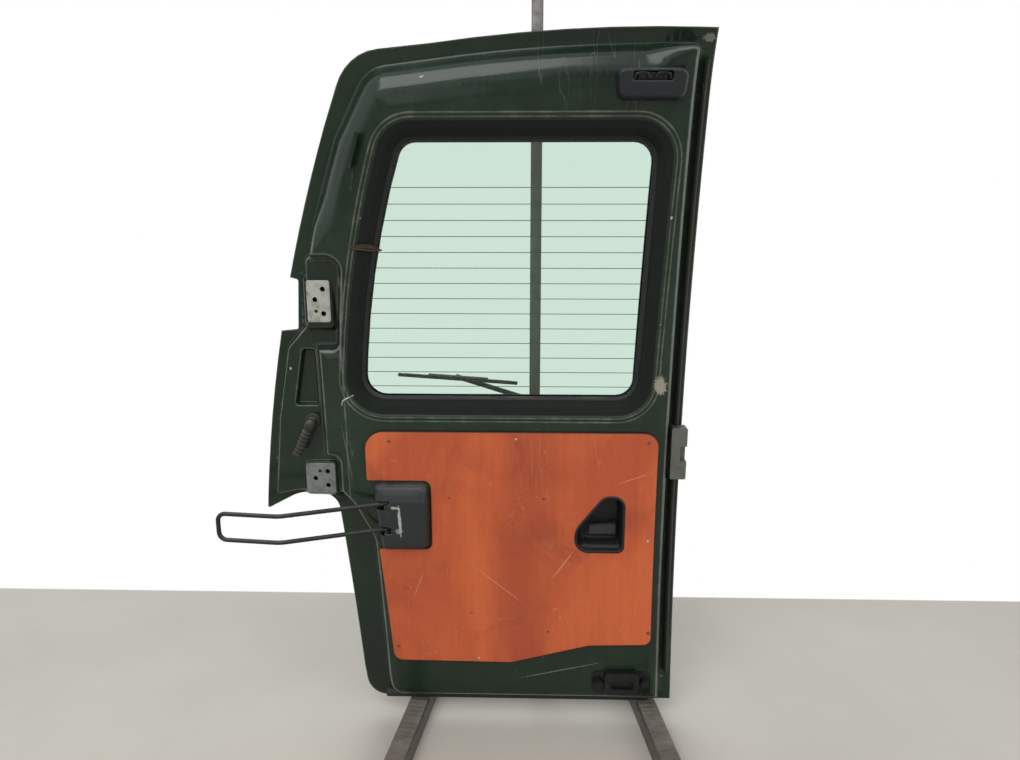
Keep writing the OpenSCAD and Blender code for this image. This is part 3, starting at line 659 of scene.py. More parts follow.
class Shader:
    """The nodes of one material, or of the world."""

    def __init__(self, name: str, owner: bpy.types.World | None = None) -> None:
        """Starts an empty material, unless an owner is given.

        Args:
            name: The material's name.
            owner: A world whose nodes are built instead.
        """
        self.owner = owner or bpy.data.materials.new(name)
        self.owner.use_nodes = True
        self.tree = self.owner.node_tree
        self.tree.nodes.clear()
        coordinates = self.tree.nodes.new("ShaderNodeTexCoord")
        self.place = Value(self, coordinates.outputs["Object"])

    def node(self, kind: str, settings: dict[str, object] | None = None,
             inputs: dict[int | str, object] | None = None, output: int | str = 0) -> Value:
        """Adds a node.

        Args:
            kind: The node's type, without its common prefix.
            settings: Its settings, which are set first; stops are a ramp's places and colours.
            inputs: Values or links of its sockets.
            output: The output that is wanted.

        Returns:
            That output.
        """
        node = self.tree.nodes.new("ShaderNode" + kind)
        for key, setting in (settings or {}).items():
            if key == "stops":
                self._ramp(node, setting)
            else:
                setattr(node, key, setting)
        for key, value in (inputs or {}).items():
            if isinstance(value, Value):
                self.tree.links.new(value.socket, node.inputs[key])
            else:
                node.inputs[key].default_value = value
        return Value(self, node.outputs[output] if node.outputs else None)

    @staticmethod
    def _ramp(node: bpy.types.Node, stops: Sequence[tuple[float, Rgb]]) -> None:
        """Sets a ramp's stops.

        Args:
            node: The ramp's node.
            stops: Places and colours.
        """
        elements = node.color_ramp.elements
        while len(elements) < len(stops):
            elements.new(0.5)
        for element, (place, colour) in zip(elements, stops):
            element.position = place
            element.color = (*colour, 1.0)

    def mix(self, factor: Value | float, a: Value | Rgb, b: Value | Rgb, blend: str = "MIX") -> Value:
        """Mixes two colours.

        Args:
            factor: The share of the second colour.
            a: The first colour.
            b: The second colour.
            blend: How they blend.

        Returns:
            The mixed colour.
        """
        settings = {"data_type": "RGBA", "blend_type": blend}
        sides = [c if isinstance(c, Value) else (*c, 1.0) for c in (a, b)]
        return self.node("Mix", settings, {0: factor, 6: sides[0], 7: sides[1]}, 2)

    def stretch(self, scale: Rgb, place: Rgb = (0, 0, 0), turn: Rgb = (0, 0, 0)) -> Value:
        """Scales, moves and turns the piece's own coordinates."""
        inputs = {"Vector": self.place, "Scale": scale, "Location": place, "Rotation": turn}
        return self.node("Mapping", {}, inputs)

    def noise(self, scale: float, detail: float = 4.0, rough: float = 0.55, vector: Value | None = None,
              warp: float = 0.0) -> Value:
        """Adds a noise, with its scale in repeats a metre.

        Args:
            scale: Repeats a metre.
            detail: Layers of finer noise.
            rough: Strength of the finer layers.
            vector: The coordinates, if not the piece's own.
            warp: How much it is twisted.

        Returns:
            The noise.
        """
        inputs = {"Vector": vector or self.place, "Scale": scale, "Detail": detail, "Roughness": rough,
                  "Distortion": warp}
        return self.node("TexNoise", {}, inputs, "Fac")

    def cells(self, scale: float, vector: Value | None = None, feature: str = "F1",
              output: str = "Distance") -> Value:
        """Adds a pattern of cells, with its scale in cells a metre."""
        inputs = {"Vector": vector or self.place, "Scale": scale}
        return self.node("TexVoronoi", {"feature": feature}, inputs, output)

    def mark(self, name: str) -> Value:
        """Reads a value that the mesh carries."""
        return self.node("Attribute", {"attribute_name": name}, {}, "Fac")

    def axis(self, index: int) -> Value:
        """Reads one coordinate, in metres."""
        return self.node("SeparateXYZ", {}, {0: self.place}, index)

    def facing(self, index: int) -> Value:
        """Reads one part of the surface's normal."""
        normal = self.node("NewGeometry", {}, {}, "Normal")
        return self.node("SeparateXYZ", {}, {0: normal}, index)

    def background_rays(self) -> Value:
        """Is 1 for the rays that see the background: straight, in a reflection or through glass."""
        kinds = ("Camera", "Glossy", "Transmission")
        rays = [self.node("LightPath", {}, {}, f"Is {kind} Ray") for kind in kinds]
        return rays[0].high(rays[1]).high(rays[2])

    def spot(self, spot: "Spot") -> Value:
        """Masks a patch of the door with a ragged edge.

        Args:
            spot: The mark's place, size and edge.

        Returns:
            The mask.
        """
        angle = math.radians(spot.turn)
        dx = self.axis(0) - (spot.at[0] + SHIFT[0]) * MM
        dz = self.axis(2) - (spot.at[1] + SHIFT[2]) * MM
        along = (dx * math.cos(angle) + dz * math.sin(angle)) * (1 / (spot.size[0] * MM))
        across = (dz * math.cos(angle) - dx * math.sin(angle)) * (1 / (spot.size[1] * MM))
        away = (along * along + across * across)**0.5
        return (away + (self.noise(420.0, 3.0) - 0.5) * (2 * spot.ragged)).step(1.12, 0.88)

    def scratches(self, scale: float, thin: float, turn: float, rarity: float) -> Value:
        """Makes thin lines that run one way and break off.

        Args:
            scale: Lines a metre.
            thin: How much longer than wide they are.
            turn: Their direction, in radians, in the plane of the door.
            rarity: Share of the surface without them.

        Returns:
            A mask of the lines.
        """
        field = self.stretch((1.0, 0.2, thin), (1.7 * turn, 0, 0), (0, turn, 0))
        line = self.noise(scale, 2.0, 0.5, field, 0.6)
        spots = self.noise(scale * 0.16, 2.0, 0.5)
        return (line - 0.5).size().step(0.006, 0.001) * spots.step(rarity, rarity + 0.08)

    def bump(self, height: Value, strength: float, distance: float, normal: Value | None = None) -> Value:
        """Turns a height into a normal; the distance is in metres.

        Args:
            height: The height.
            strength: Its strength.
            distance: What a height of 1 is, in metres.
            normal: A normal that it adds to.

        Returns:
            The normal.
        """
        inputs = {"Height": height, "Strength": strength, "Distance": distance}
        if normal is not None:
            inputs["Normal"] = normal
        return self.node("Bump", {}, inputs)

    def surface(self, **inputs: object) -> bpy.types.Material:
        """Ends the material in one Principled shader.

        Args:
            inputs: Its sockets, with an underscore for each space.

        Returns:
            The finished material.
        """
        named = {key.replace("_", " "): value for key, value in inputs.items()}
        for key, value in named.items():
            if isinstance(value, tuple) and len(value) == 3:
                named[key] = (*value, 1.0)
        closure = self.node("BsdfPrincipled", {}, named)
        self.node("OutputMaterial", {}, {"Surface": closure})
        return self.owner


class Slot(str, Enum):
    """The material slots."""
    PAINT = "green_paint"
    PRIMER = "bare_primer"
    GLASS = "tinted_glass"
    RUBBER = "black_rubber"
    PLYWOOD = "stained_plywood"
    PLASTIC = "black_plastic"
    ZINC = "zinc_steel"
    GREASY = "greasy_steel"
    WIRE = "black_wire"
    WORN = "worn_steel"


@dataclass(frozen=True)
class Finish:
    """A finish of the door's pieces.

    Attributes:
        name: The material's name.
        kind: The material slot that it belongs to.
    """
    name: str
    kind: Slot

    @property
    def slot(self) -> str:
        """The slot's name."""
        return self.kind.value

    def material(self) -> bpy.types.Material:
        """Returns the material, made once."""
        name = f"{self.name}_finish"
        return bpy.data.materials.get(name) or self.paint(Shader(name))

    def paint(self, s: Shader) -> bpy.types.Material:
        """Builds the nodes."""
        raise NotImplementedError


@dataclass(frozen=True)
class GreenPaint(Finish):
    """Old dark green car paint with thin dust, scratches and chips."""
    name: str = "green_paint"
    kind: Slot = Slot.PAINT
    base: Rgb = (0.0115, 0.0285, 0.0155)
    deep: Rgb = (0.0080, 0.0190, 0.0105)
    dust: Rgb = (0.15, 0.14, 0.115)
    # Bare primer colour, also used for the pressing's painted highlight lines along its edges.
    primer_and_highlight: Rgb = (0.42, 0.44, 0.39)

    def paint(self, s: Shader) -> bpy.types.Material:
        """Builds the nodes.

        Args:
            s: The shader that takes the nodes.

        Returns:
            The material.
        """
        cloud = s.noise(3.4, 4.0, 0.55)
        grime = s.noise(34.0, 6.0, 0.66)
        fine = s.scratches(30.0, 0.10, 0.5, 0.60) + s.scratches(36.0, 0.08, -0.8, 0.61)
        fine = (fine + s.scratches(24.0, 0.12, 1.3, 0.60)).low(1.0)
        chips = (s.cells(48.0) + s.noise(260.0, 3.0, 0.6) * 0.12).step(0.135, 0.115)
        chips = chips * s.noise(8.0, 3.0).step(0.57, 0.62)
        haze = (grime * (0.6 + cloud)).step(0.46, 0.95) * 0.05
        haze = haze.high(self.soil(s, grime))
        # Pale lines: scratches and rubbed paint; on the inner pressing they are also painted highlights
        # along its edges.
        pale = (fine * 0.10).high(self.rubbed(s, grime))
        colour = s.mix(cloud.step(0.35, 0.65), self.deep, self.base)
        colour = s.mix(haze, colour, self.dust)
        colour = s.mix(pale, colour, self.primer_and_highlight)
        colour = s.mix(chips * 0.75, colour, self.primer_and_highlight)
        colour = self.spots(s, colour)
        rough = 0.17 + haze * 1.1 + grime.step(0.35, 0.8) * 0.07 + pale * 0.3 + self.dull(s)
        height = s.noise(60.0, 2.0, 0.5) * 0.4 + s.noise(900.0) * 0.08 - chips * 0.7 - fine * 0.2
        return s.surface(Base_Color=colour, Roughness=rough.low(0.9), Specular_IOR_Level=0.38,
                         Normal=s.bump(height, 0.16, 0.0004))

    def soil(self, s: Shader, grime: Value) -> Value:
        """Says where dirt lies, besides the thin dust all over."""
        return s.facing(2).step(0.55, 1.0) * grime.step(0.3, 0.7) * 0.16

    def rubbed(self, s: Shader, grime: Value) -> Value:
        """Says where the paint is rubbed through."""
        return grime.step(0.72, 0.86) * 0.10

    def dull(self, s: Shader) -> Value | float:
        """Says where the paint has no shine."""
        return 0.0

    def spots(self, s: Shader, colour: Value) -> Value:
        """Adds single marks."""
        return colour


@dataclass(frozen=True)
class Spot:
    """One mark of a finish at a known place of the door, in millimetres.

    Attributes:
        at: Its middle in x and z.
        size: Its half width and half height.
        colour: Its colour.
        strength: How much it covers.
        turn: Its turn in degrees.
        ragged: How uneven its edge is.
    """
    at: tuple[float, float]
    size: tuple[float, float]
    colour: Rgb
    strength: float = 0.9
    turn: float = 0.0
    ragged: float = 0.5


@dataclass(frozen=True)
class PressedPaint(GreenPaint):
    """The paint of the inner pressing: rubbed along its edges, where its pale lines are also painted
    highlights, dirty in its creases, and darkened deep in the window's reveal as painted shade.
    """
    name: str = "pressed_green"
    places: tuple[Spot, ...] = (
        Spot((-50, 632), (10, 15), (0.36, 0.34, 0.27), 0.85, 10, 1.1),
        Spot((-12, 1180), (9, 5), (0.25, 0.25, 0.20), 0.6, 0, 1.0),
        Spot((-51, 917), (1.8, 2.4), (0.50, 0.50, 0.45)),
        Spot((-443, 1126), (3.4, 1.3), (0.42, 0.41, 0.36), 0.8, 20),
        Spot((-701, 654), (1.6, 2.6), (0.60, 0.60, 0.56)),
        Spot((-218, 80), (74, 0.9), (0.24, 0.27, 0.22), 0.55, 12, 0.8),
        # The next two thin pale green lines are rubbed paint and painted highlights along edges of the
        # pressing.
        Spot((-120, 584), (22, 0.7), (0.20, 0.23, 0.20), 0.5, 3, 0.8),
        Spot((-604, 505), (0.8, 48), (0.16, 0.20, 0.17), 0.5, 8, 0.8),
        # The near-black spots are painted shade standing in for the top reveal's slots and a small hole,
        # which are not cut.
        Spot((-200, 1052), (2.6, 1.5), (0.001, 0.001, 0.001), 1.0, 0, 0.1),
        Spot((-170, 1052), (15, 1.5), (0.001, 0.001, 0.001), 1.0, 0, 0.05),
        Spot((-127, 1052), (2.6, 1.5), (0.001, 0.001, 0.001), 1.0, 0, 0.1),
        Spot((-43, 1178), (2.2, 2.2), (0.001, 0.001, 0.001), 1.0, 0, 0.1))

    def soil(self, s: Shader, grime: Value) -> Value:
        """Says where dirt lies, besides the thin dust all over."""
        return (s.mark("dirt") + (grime - 0.5) * 0.5).step(0.40, 1.05) * 0.5

    def rubbed(self, s: Shader, grime: Value) -> Value:
        """Says where the paint is rubbed through, with pale lines along the edges that also stand in as
        painted highlights.
        """
        return (s.mark("wear_and_highlight") + (grime - 0.5) * 0.5).step(0.35, 0.95) * 0.42

    def dull(self, s: Shader) -> Value | float:
        """Says where the paint has no shine: deep in the window's reveal."""
        return s.mark("deep") * 0.7

    def spots(self, s: Shader, colour: Value) -> Value:
        """Adds the single marks, and darkens the walls deep in the window's reveal as painted shade.

        Args:
            s: The shader that takes the nodes.
            colour: The paint's colour so far.

        Returns:
            The colour with its marks.
        """
        for spot in self.places:
            colour = s.mix(s.spot(spot) * spot.strength, colour, spot.colour)
        # Painted shade: the walls deep in the window's reveal go near black.
        return s.mix(s.mark("deep") * 0.9, colour, (0.002, 0.004, 0.003))


@dataclass(frozen=True)
class Plywood(Finish):
    """Thin plywood with an orange stain, scuffed and scratched."""
    name: str = "stained_plywood"
    kind: Slot = Slot.PLYWOOD
    light: Rgb = (0.64, 0.128, 0.036)
    middle: Rgb = (0.50, 0.088, 0.028)
    dark: Rgb = (0.25, 0.036, 0.018)
    # Painted shadow colour along the board's outer edge.
    edge_shadow: Rgb = (0.05, 0.016, 0.010)
    scuff: Rgb = (0.62, 0.27, 0.15)
    edge: Rgb = (0.62, 0.33, 0.19)
    places: tuple[Spot, ...] = (
        Spot((-383, 195), (3.2, 1.4), (0.45, 0.015, 0.012), 0.9, 25),
        Spot((-215, 290), (34, 0.8), (0.66, 0.40, 0.28), 0.6, 55, 0.8),
        Spot((-330, 250), (60, 0.8), (0.62, 0.34, 0.22), 0.5, -38, 0.9),
        Spot((-480, 250), (26, 0.7), (0.62, 0.34, 0.22), 0.5, 70, 0.9),
        Spot((-90, 460), (30, 0.7), (0.66, 0.40, 0.28), 0.55, 20, 0.9),
        # These small near-black dots are painted shade standing in for nail holes, which are not cut.
        Spot((-250, 420), (2.0, 2.0), (0.01, 0.006, 0.004), 0.9, 0, 0.2),
        Spot((-420, 420), (1.8, 1.8), (0.01, 0.006, 0.004), 0.9, 0, 0.2),
        Spot((-240, 160), (1.8, 1.8), (0.01, 0.006, 0.004), 0.9, 0, 0.2))

    def paint(self, s: Shader) -> bpy.types.Material:
        """Builds the nodes.

        Args:
            s: The shader that takes the nodes.

        Returns:
            The material.
        """
        wander = s.noise(3.0, 2.0, 0.5)
        grain = s.noise(120.0, 6.0, 0.68, s.stretch((1.0, 0.4, 0.035)), 0.35)
        fibre = s.noise(620.0, 3.0, 0.6, s.stretch((1.0, 0.4, 0.018)))
        patch = s.noise(3.6, 4.0, 0.6, s.stretch((1.2, 1.0, 0.6)), 0.6)
        colour = s.mix(patch.step(0.38, 0.62), self.middle, self.light)
        colour = s.mix(grain.step(0.44, 0.70) * 0.16, colour, self.dark)
        colour = s.mix(fibre.step(0.47, 0.70) * 0.08, colour, self.dark)
        colour = s.mix((1 - fibre).step(0.56, 0.72) * 0.05, colour, self.scuff)
        band = (s.axis(0) - (SHIFT[0] - 275) * MM + (wander - 0.5) * 0.16).size().step(0.085, 0.015)
        colour = s.mix(band * 0.30, colour, self.dark)
        blotch = s.noise(7.0, 6.0, 0.62, None, 1.0).step(0.50, 0.70)
        colour = s.mix(blotch * 0.42, colour, self.dark)
        lines = s.scratches(26.0, 0.07, 0.25, 0.56) + s.scratches(22.0, 0.08, -1.0, 0.58)
        lines = (lines + s.scratches(30.0, 0.10, 1.2, 0.57)).low(1.0)
        spots = s.noise(130.0, 4.0, 0.62).step(0.60, 0.68) * s.noise(12.0, 3.0).step(0.47, 0.66)
        colour = s.mix(lines * 0.34, colour, self.scuff)
        colour = s.mix(spots * 0.45, colour, self.scuff)
        for spot in self.places:
            colour = s.mix(s.spot(spot) * spot.strength, colour, spot.colour)
        # Painted shadow darkens the board's outer edge.
        colour = s.mix(s.mark("side").step(0.3, 0.8) * 0.85, colour, self.edge_shadow)
        rim = (s.mark("rim") + (grain - 0.5) * 0.6).step(0.4, 0.8)
        colour = s.mix(rim * 0.8, colour, self.edge)
        height = grain * 0.5 + fibre * 0.5 - lines * 0.4
        rough = 0.40 + patch * 0.16 + spots * 0.2 + rim * 0.2
        return s.surface(Base_Color=colour, Roughness=rough, Specular_IOR_Level=0.45,
                         Normal=s.bump(height, 0.35, 0.0003))


@dataclass(frozen=True)
class Moulded(Finish):
    """A black moulding: fine grained plastic or smooth rubber, dusty on its upper faces or scuffed; on the
    corrugated boot that pale top also serves as painted highlight.
    """
    name: str = "black_plastic"
    kind: Slot = Slot.PLASTIC
    base: Rgb = (0.024, 0.026, 0.028)
    dust: Rgb = (0.14, 0.137, 0.125)
    rough: float = 0.5
    dusty: float = 0.5
    leather: float = 0.6
    places: tuple[Spot, ...] = ()

    def paint(self, s: Shader) -> bpy.types.Material:
        """Builds the nodes.

        Args:
            s: The shader that takes the nodes.

        Returns:
            The material.
        """
        cloud = s.noise(24.0, 5.0, 0.62)
        fine = s.noise(240.0, 3.0, 0.6)
        pore = s.cells(1400.0, None, "SMOOTH_F1")
        # Up-facing faces take more of the pale dust colour: settled dust, which on the corrugated boot's
        # rings also stands in as painted highlight.
        up = s.facing(2).step(0.1, 0.95)
        soil = ((cloud - 0.2) * (0.35 + up * 0.9)).step(0.1, 0.75) * self.dusty
        lines = s.scratches(70.0, 0.1, 0.8, 0.56) + s.scratches(60.0, 0.1, -0.4, 0.57)
        colour = s.mix(soil + lines.low(1.0) * 0.25, self.base, self.dust)
        for spot in self.places:
            colour = s.mix(s.spot(spot) * spot.strength, colour, spot.colour)
        rough = self.rough + soil * 0.3 + fine * 0.08
        height = pore * self.leather + fine * 0.3
        return s.surface(Base_Color=colour, Roughness=rough.low(0.95), Specular_IOR_Level=0.4,
                         Normal=s.bump(height, 0.3, 0.0003))


@dataclass(frozen=True)
class Metal(Finish):
    """Bare or coated steel, with its stains."""
    name: str = "zinc_steel"
    kind: Slot = Slot.ZINC
    base: Rgb = (0.46, 0.46, 0.44)
    stain: Rgb = (0.12, 0.10, 0.08)
    stained: float = 0.4
    metallic: float = 0.85
    rough: float = 0.38
    grain: float = 60.0

    def paint(self, s: Shader) -> bpy.types.Material:
        """Builds the nodes.

        Args:
            s: The shader that takes the nodes.

        Returns:
            The material.
        """
        cloud = s.noise(self.grain, 6.0, 0.65)
        fine = s.noise(self.grain * 9, 3.0, 0.6)
        soil = (cloud + (fine - 0.5) * 0.3).step(0.42, 0.7) * self.stained
        colour = s.mix(fine.step(0.3, 0.8) * 0.35, self.base, tuple(c * 0.6 for c in self.base))
        colour = s.mix(soil, colour, self.stain)
        rough = self.rough + soil * 0.35 + fine * 0.1
        metal = (1 - soil) * self.metallic
        return s.surface(Base_Color=colour, Roughness=rough.low(0.95), Metallic=metal,
                         Normal=s.bump(cloud + fine * 0.5, 0.2, 0.0003))


@dataclass(frozen=True)
class TintedGlass(Finish):
    """Green tinted safety glass."""
    name: str = "tinted_glass"
    kind: Slot = Slot.GLASS
    tint: Rgb = (0.62, 0.79, 0.69)
    smudge: Rgb = (0.72, 0.74, 0.70)

    def paint(self, s: Shader) -> bpy.types.Material:
        """Builds the nodes.

        Args:
            s: The shader that takes the nodes.

        Returns:
            The material.
        """
        smear = s.noise(7.0, 4.0, 0.6, s.stretch((1.0, 1.0, 0.5)))
        colour = s.mix(smear.step(0.45, 0.8) * 0.06, self.tint, self.smudge)
        rough = smear.step(0.5, 0.9) * 0.02
        return s.surface(Base_Color=colour, Roughness=rough, Transmission_Weight=1.0, IOR=1.45)


GREEN = GreenPaint()
PRESSED = PressedPaint()
PLY = Plywood()
PLASTIC = Moulded()
BLUISH = Moulded("blue_black_moulding", Slot.PLASTIC, (0.012, 0.014, 0.019), (0.12, 0.12, 0.12),
                 0.4, 0.45, 0.5)
RUBBER = Moulded("black_rubber", Slot.RUBBER, (0.015, 0.015, 0.015), (0.12, 0.11, 0.09), 0.6, 0.6, 0.2)
# Dusty rubber: its pale up-facing dust also stands in as painted highlight on the boot's rings.
DUST_AND_HIGHLIGHT = Moulded("dust_and_highlight_rubber", Slot.RUBBER, (0.030, 0.027, 0.022), (0.20, 0.17, 0.13), 0.7, 0.95, 0.2)
DARK = Moulded("dark_moulding", Slot.PLASTIC, (0.0045, 0.0045, 0.005), (0.05, 0.05, 0.045), 0.5, 0.2, 0.3)
COVER = Moulded("grey_moulding", Slot.PLASTIC, (0.017, 0.021, 0.023), (0.20, 0.20, 0.185), 0.40, 0.35, 0.5, (
    Spot((-509, 382), (2.6, 27), (0.55, 0.55, 0.50), 0.75, 3, 0.9),
    Spot((-519, 407), (9, 2.4), (0.50, 0.50, 0.46), 0.7, -6, 0.9),
    Spot((-511, 362), (6, 5), (0.40, 0.40, 0.37), 0.5, 0, 1.1)))
ZINC = Metal()
BRIGHT = Metal("bright_steel", Slot.ZINC, (0.62, 0.61, 0.58), (0.14, 0.12, 0.10), 0.3, 0.9, 0.28)
RUSTY = Metal("rusty_steel", Slot.ZINC, (0.20, 0.16, 0.13), (0.13, 0.055, 0.025), 0.85, 0.5, 0.6, 140.0)
OILY = Metal("oily_steel", Slot.GREASY, (0.020, 0.020, 0.020), (0.008, 0.008, 0.008), 0.4, 0.6, 0.22)
LOCK = Metal("worn_lock_steel", Slot.GREASY, (0.15, 0.16, 0.14), (0.06, 0.05, 0.04), 0.6, 0.6, 0.42)
WIRE = Moulded("black_wire", Slot.WIRE, (0.014, 0.014, 0.015), (0.25, 0.24, 0.22), 0.3, 0.3, 0.1)
WORN = Metal("worn_steel", Slot.WORN, (0.16, 0.155, 0.14), (0.09, 0.075, 0.06), 0.6, 0.75, 0.45)
PRIMER = Metal("bare_primer", Slot.PRIMER, (0.44, 0.44, 0.39), (0.16, 0.16, 0.12), 0.7, 0.0, 0.55)
PRIMER_DARK = Metal("grey_green_primer", Slot.PRIMER, (0.20, 0.22, 0.20), (0.08, 0.08, 0.065), 0.6, 0.0, 0.5)
TREAD = Moulded("worn_tread", Slot.RUBBER, (0.11, 0.097, 0.080), (0.28, 0.25, 0.21), 0.7, 0.8, 0.3)
TAPE = Moulded("brown_tape", Slot.WIRE, (0.050, 0.034, 0.024), (0.20, 0.14, 0.10), 0.6, 0.8, 0.3)
HEATER = Moulded("heater_print", Slot.GLASS, (0.10, 0.075, 0.045), (0.16, 0.13, 0.09), 0.6, 0.3, 0.1)
GLASS = TintedGlass()
NODE_FINISHES: dict[str, Finish] = {
    "outer_skin": GREEN, "inner_pressing": GREEN,
    "hinge_plate_upper": PRIMER, "hinge_plate_lower": PRIMER_DARK,
    "window_glass": GLASS, "window_seal": RUBBER, "trim_board": PLY, "check_cover": COVER,
    "check_bracket": ZINC, "check_loop": WIRE, "handle_cup": DARK, "handle_lever": PLASTIC,
    "top_latch_cover": PLASTIC, "top_latch": OILY, "bottom_latch": OILY, "centre_lock": LOCK,
    "meeting_seal": DUST_AND_HIGHLIGHT, "bottom_seal": RUBBER, "loom_grommet": DUST_AND_HIGHLIGHT, "loom_boot": DUST_AND_HIGHLIGHT,
    "guide_fin": GREEN, "wiper_housing": DARK, "wiper_arm": DARK, "wiper_blade_frame": DARK,
    "wiper_rubber": RUBBER, "outer_handle_bezel": PLASTIC, "outer_handle_grip": PLASTIC, "key_barrel": ZINC,
    "stand_mast": WORN, "mast_bumper": RUBBER, "stand_crossbar": WORN, "foot_left": WORN, "foot_right": WORN,
    "foot_tread_left": TREAD, "foot_tread_right": TREAD}


def dress_nodes() -> None:
    """Gives every CAD node its finish."""
    for name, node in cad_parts.items():
        finish = NODE_FINISHES[name]
        node.data.materials.clear()
        node.data.materials.append(finish.material())
        LOG.info("%s is finished as %s", name, finish.name)


# Sub-assemblies


@dataclass
class InnerPressing:
    """The pressed inner panel, with its hem flange, raised face, window reveal and hinge bay."""
    face_wall: Profile = Profile(((-99, 3), (0, 3), (7, 35), (13, 42.5), (24, 46), (99, 46)), 3.0)
    bay_wall: Profile = Profile(((-99, 3), (0, 3), (6, 20), (99, 20)), 2.4)
    groove_wall: Profile = Profile(((-99, 40), (-6, 24), (0, 19.6), (4, 9), (99, 8)), 1.2)
    pad_wall: Profile = Profile(((-99, -200), (-7, -14), (0, 0), (99, 0)), 1.6)
    reveal: Profile = Profile(
        ((-99, 7.5), (2.5, 8), (14, 38), (31, 45.0), (37, 46.6), (41, 50), (52, 70), (99, 70)), 1.3)
    swell: Profile = Profile(((-99, 3), (0, 3), (5, 11), (16, 26), (36, 40), (62, 46), (99, 46)), 6.0)
    face_side: float = 652
    top_pocket_x: tuple[float, float] = (602, 616)
    top_pocket_z: tuple[float, float] = (702, 846)
    low_pocket: tuple[float, float] = (628, 486)
    bay_inset: float = 14
    bay_end: float = 596
    groove_z: tuple[float, float] = (585, 690)
    groove_rib: float = 46
    groove_gap: float = 3
    access_hole: tuple[float, float, float, float] = (-400, -240, 190, 500)
    face_rings: tuple[float, ...] = (-2, 0, 2, 4, 6, 8, 10, 12, 14, 17, 22)
    bay_rings: tuple[float, ...] = (-2, 0, 1.5, 3, 4.5, 6, 7.5, 10)
    groove_rings: tuple[float, ...] = (-5, -3, -1.2, 0.5, 2, 3.5, 5)
    reveal_rings: tuple[float, ...] = (
        2, 4.5, 7, 9.5, 12, 13.4, 14.6, 16, 18, 22, 26, 29, 32, 35, 38.5, 42, 46)
    hem_rings: tuple[float, ...] = (1.4, 3.5)
    swell_rings: tuple[float, ...] = (30, 38, 48, 60)
    grid: float = 12
    step: float = 3.4

    def face_path(self, i: float = 0) -> np.ndarray:
        """Gives the outline of the raised face, inset by i.

        Args:
            i: How far inside the real line.

        Returns:
            The closed path.
        """
        f = FORM
        side = self.face_side
        top, low = self.top_pocket_z[1], self.top_pocket_z[0]
        outer, inner = self.top_pocket_x
        pocket, pocket_top = self.low_pocket
        return rounded([
            (-f.hem - i, 16 + i, 6), (-f.hem - i, f.crown_z(0, f.hem + i), 12),
            *f.crown_path(-40, -430, f.hem + i, 8), f.roof_point(f.hem + i),
            *f.side_path(f.height - 155, 900, f.hem + i, 6),
            (f.side_x(850) + f.hem + 6 + i, top + i, 8), (-outer + i, top + i, 16),
            (-inner + i, low - i, 3), (-side + i, low - i, 6),
            (-side + i, pocket_top + i, 6), (-pocket + i, pocket_top + i, 8),
            (-pocket + i, 424, 8), (-pocket + 24 + i, 396, 20),
            (-f.low_width + f.side_hem - 16 + i, 330, 40), (-f.low_width + f.side_hem + 4 + i, 60, 0),
            (-f.low_width + f.side_hem + 12 + i, 16 + i, 34)])

    def bay_path(self, i: float = 0) -> np.ndarray:
        """Gives the outline of the stepped hinge bay, inset by i.

        Args:
            i: How far inside the real line.

        Returns:
            The closed path.
        """
        f = FORM
        b = self.bay_inset
        return rounded([
            (-self.bay_end, 858 - i, 0), (f.side_x(845) + b + 6 + i, 858 - i, 18),
            (f.side_x(760) + b + 28 + i, 740, 20), (f.side_x(700) + b + i, 694, 30),
            (f.side_x(560) + b + i, 560, 0), (f.side_x(430) + b + i, 405 + i, 10),
            (-700, f.lamp_top + 5 + i, 60), (-self.bay_end, f.lamp_top - 1 + i, 0)])

    def groove_path(self) -> np.ndarray:
        """Gives the outline of the groove between the bay's outer rib and the raised face.

        Returns:
            The closed path.
        """
        low, high = self.groove_z
        x = -self.face_side - self.groove_gap
        rib = self.groove_rib
        return rounded([(x, low, 5), (x, high, 5), (FORM.side_x(high) + rib, high, 5),
                        (FORM.side_x(low) + rib, low, 5)])

    def depth(self, p: np.ndarray) -> np.ndarray:
        """Gives the depth of the panel's inner face at points.

        Args:
            p: Points in x and z, in millimetres.

        Returns:
            The depth below the outer skin at each.
        """
        inside = -signed_distance(p, self._face)
        soft = self.softness(p)
        face = self.face_wall(inside) * (1 - soft) + self.swell(inside) * soft
        bay = self.bay_wall(-signed_distance(p, self._bay))
        for plate in (UPPER_HINGE, LOWER_HINGE):
            inside = -signed_distance(p, plate.pad_path())
            level = FORM.surface(p[:, 1], 0) - plate.pad_level
            bay = soft_max(bay, level + self.pad_wall(inside), 2.0)
        bay = soft_min(bay, self.groove_wall(-signed_distance(p, self._groove)), 2.0)
        form = soft_max(face, bay, 4.0)
        return soft_min(form, self.reveal(signed_distance(p, self._window)), 1.6)

    def softness(self, p: np.ndarray) -> np.ndarray:
        """Says where the face swells softly: along the roof and down to the upper hinge.

        Args:
            p: Points in x and z, in millimetres.

        Returns:
            The share of the soft swell at each.
        """
        high = np.clip((p[:, 1] - 850) / 110, 0, 1)
        far = np.clip((-p[:, 0] - 40) / 70, 0, 1)
        return high * high * (3 - 2 * high) * far * far * (3 - 2 * far)

    def deep(self, p: np.ndarray) -> np.ndarray:
        """Marks the walls deep in the window's reveal, where the paint is dulled and darkened to near black
        as painted shade.
        """
        return np.clip((29 - signed_distance(p, self._window)) / 3, 0, 1)

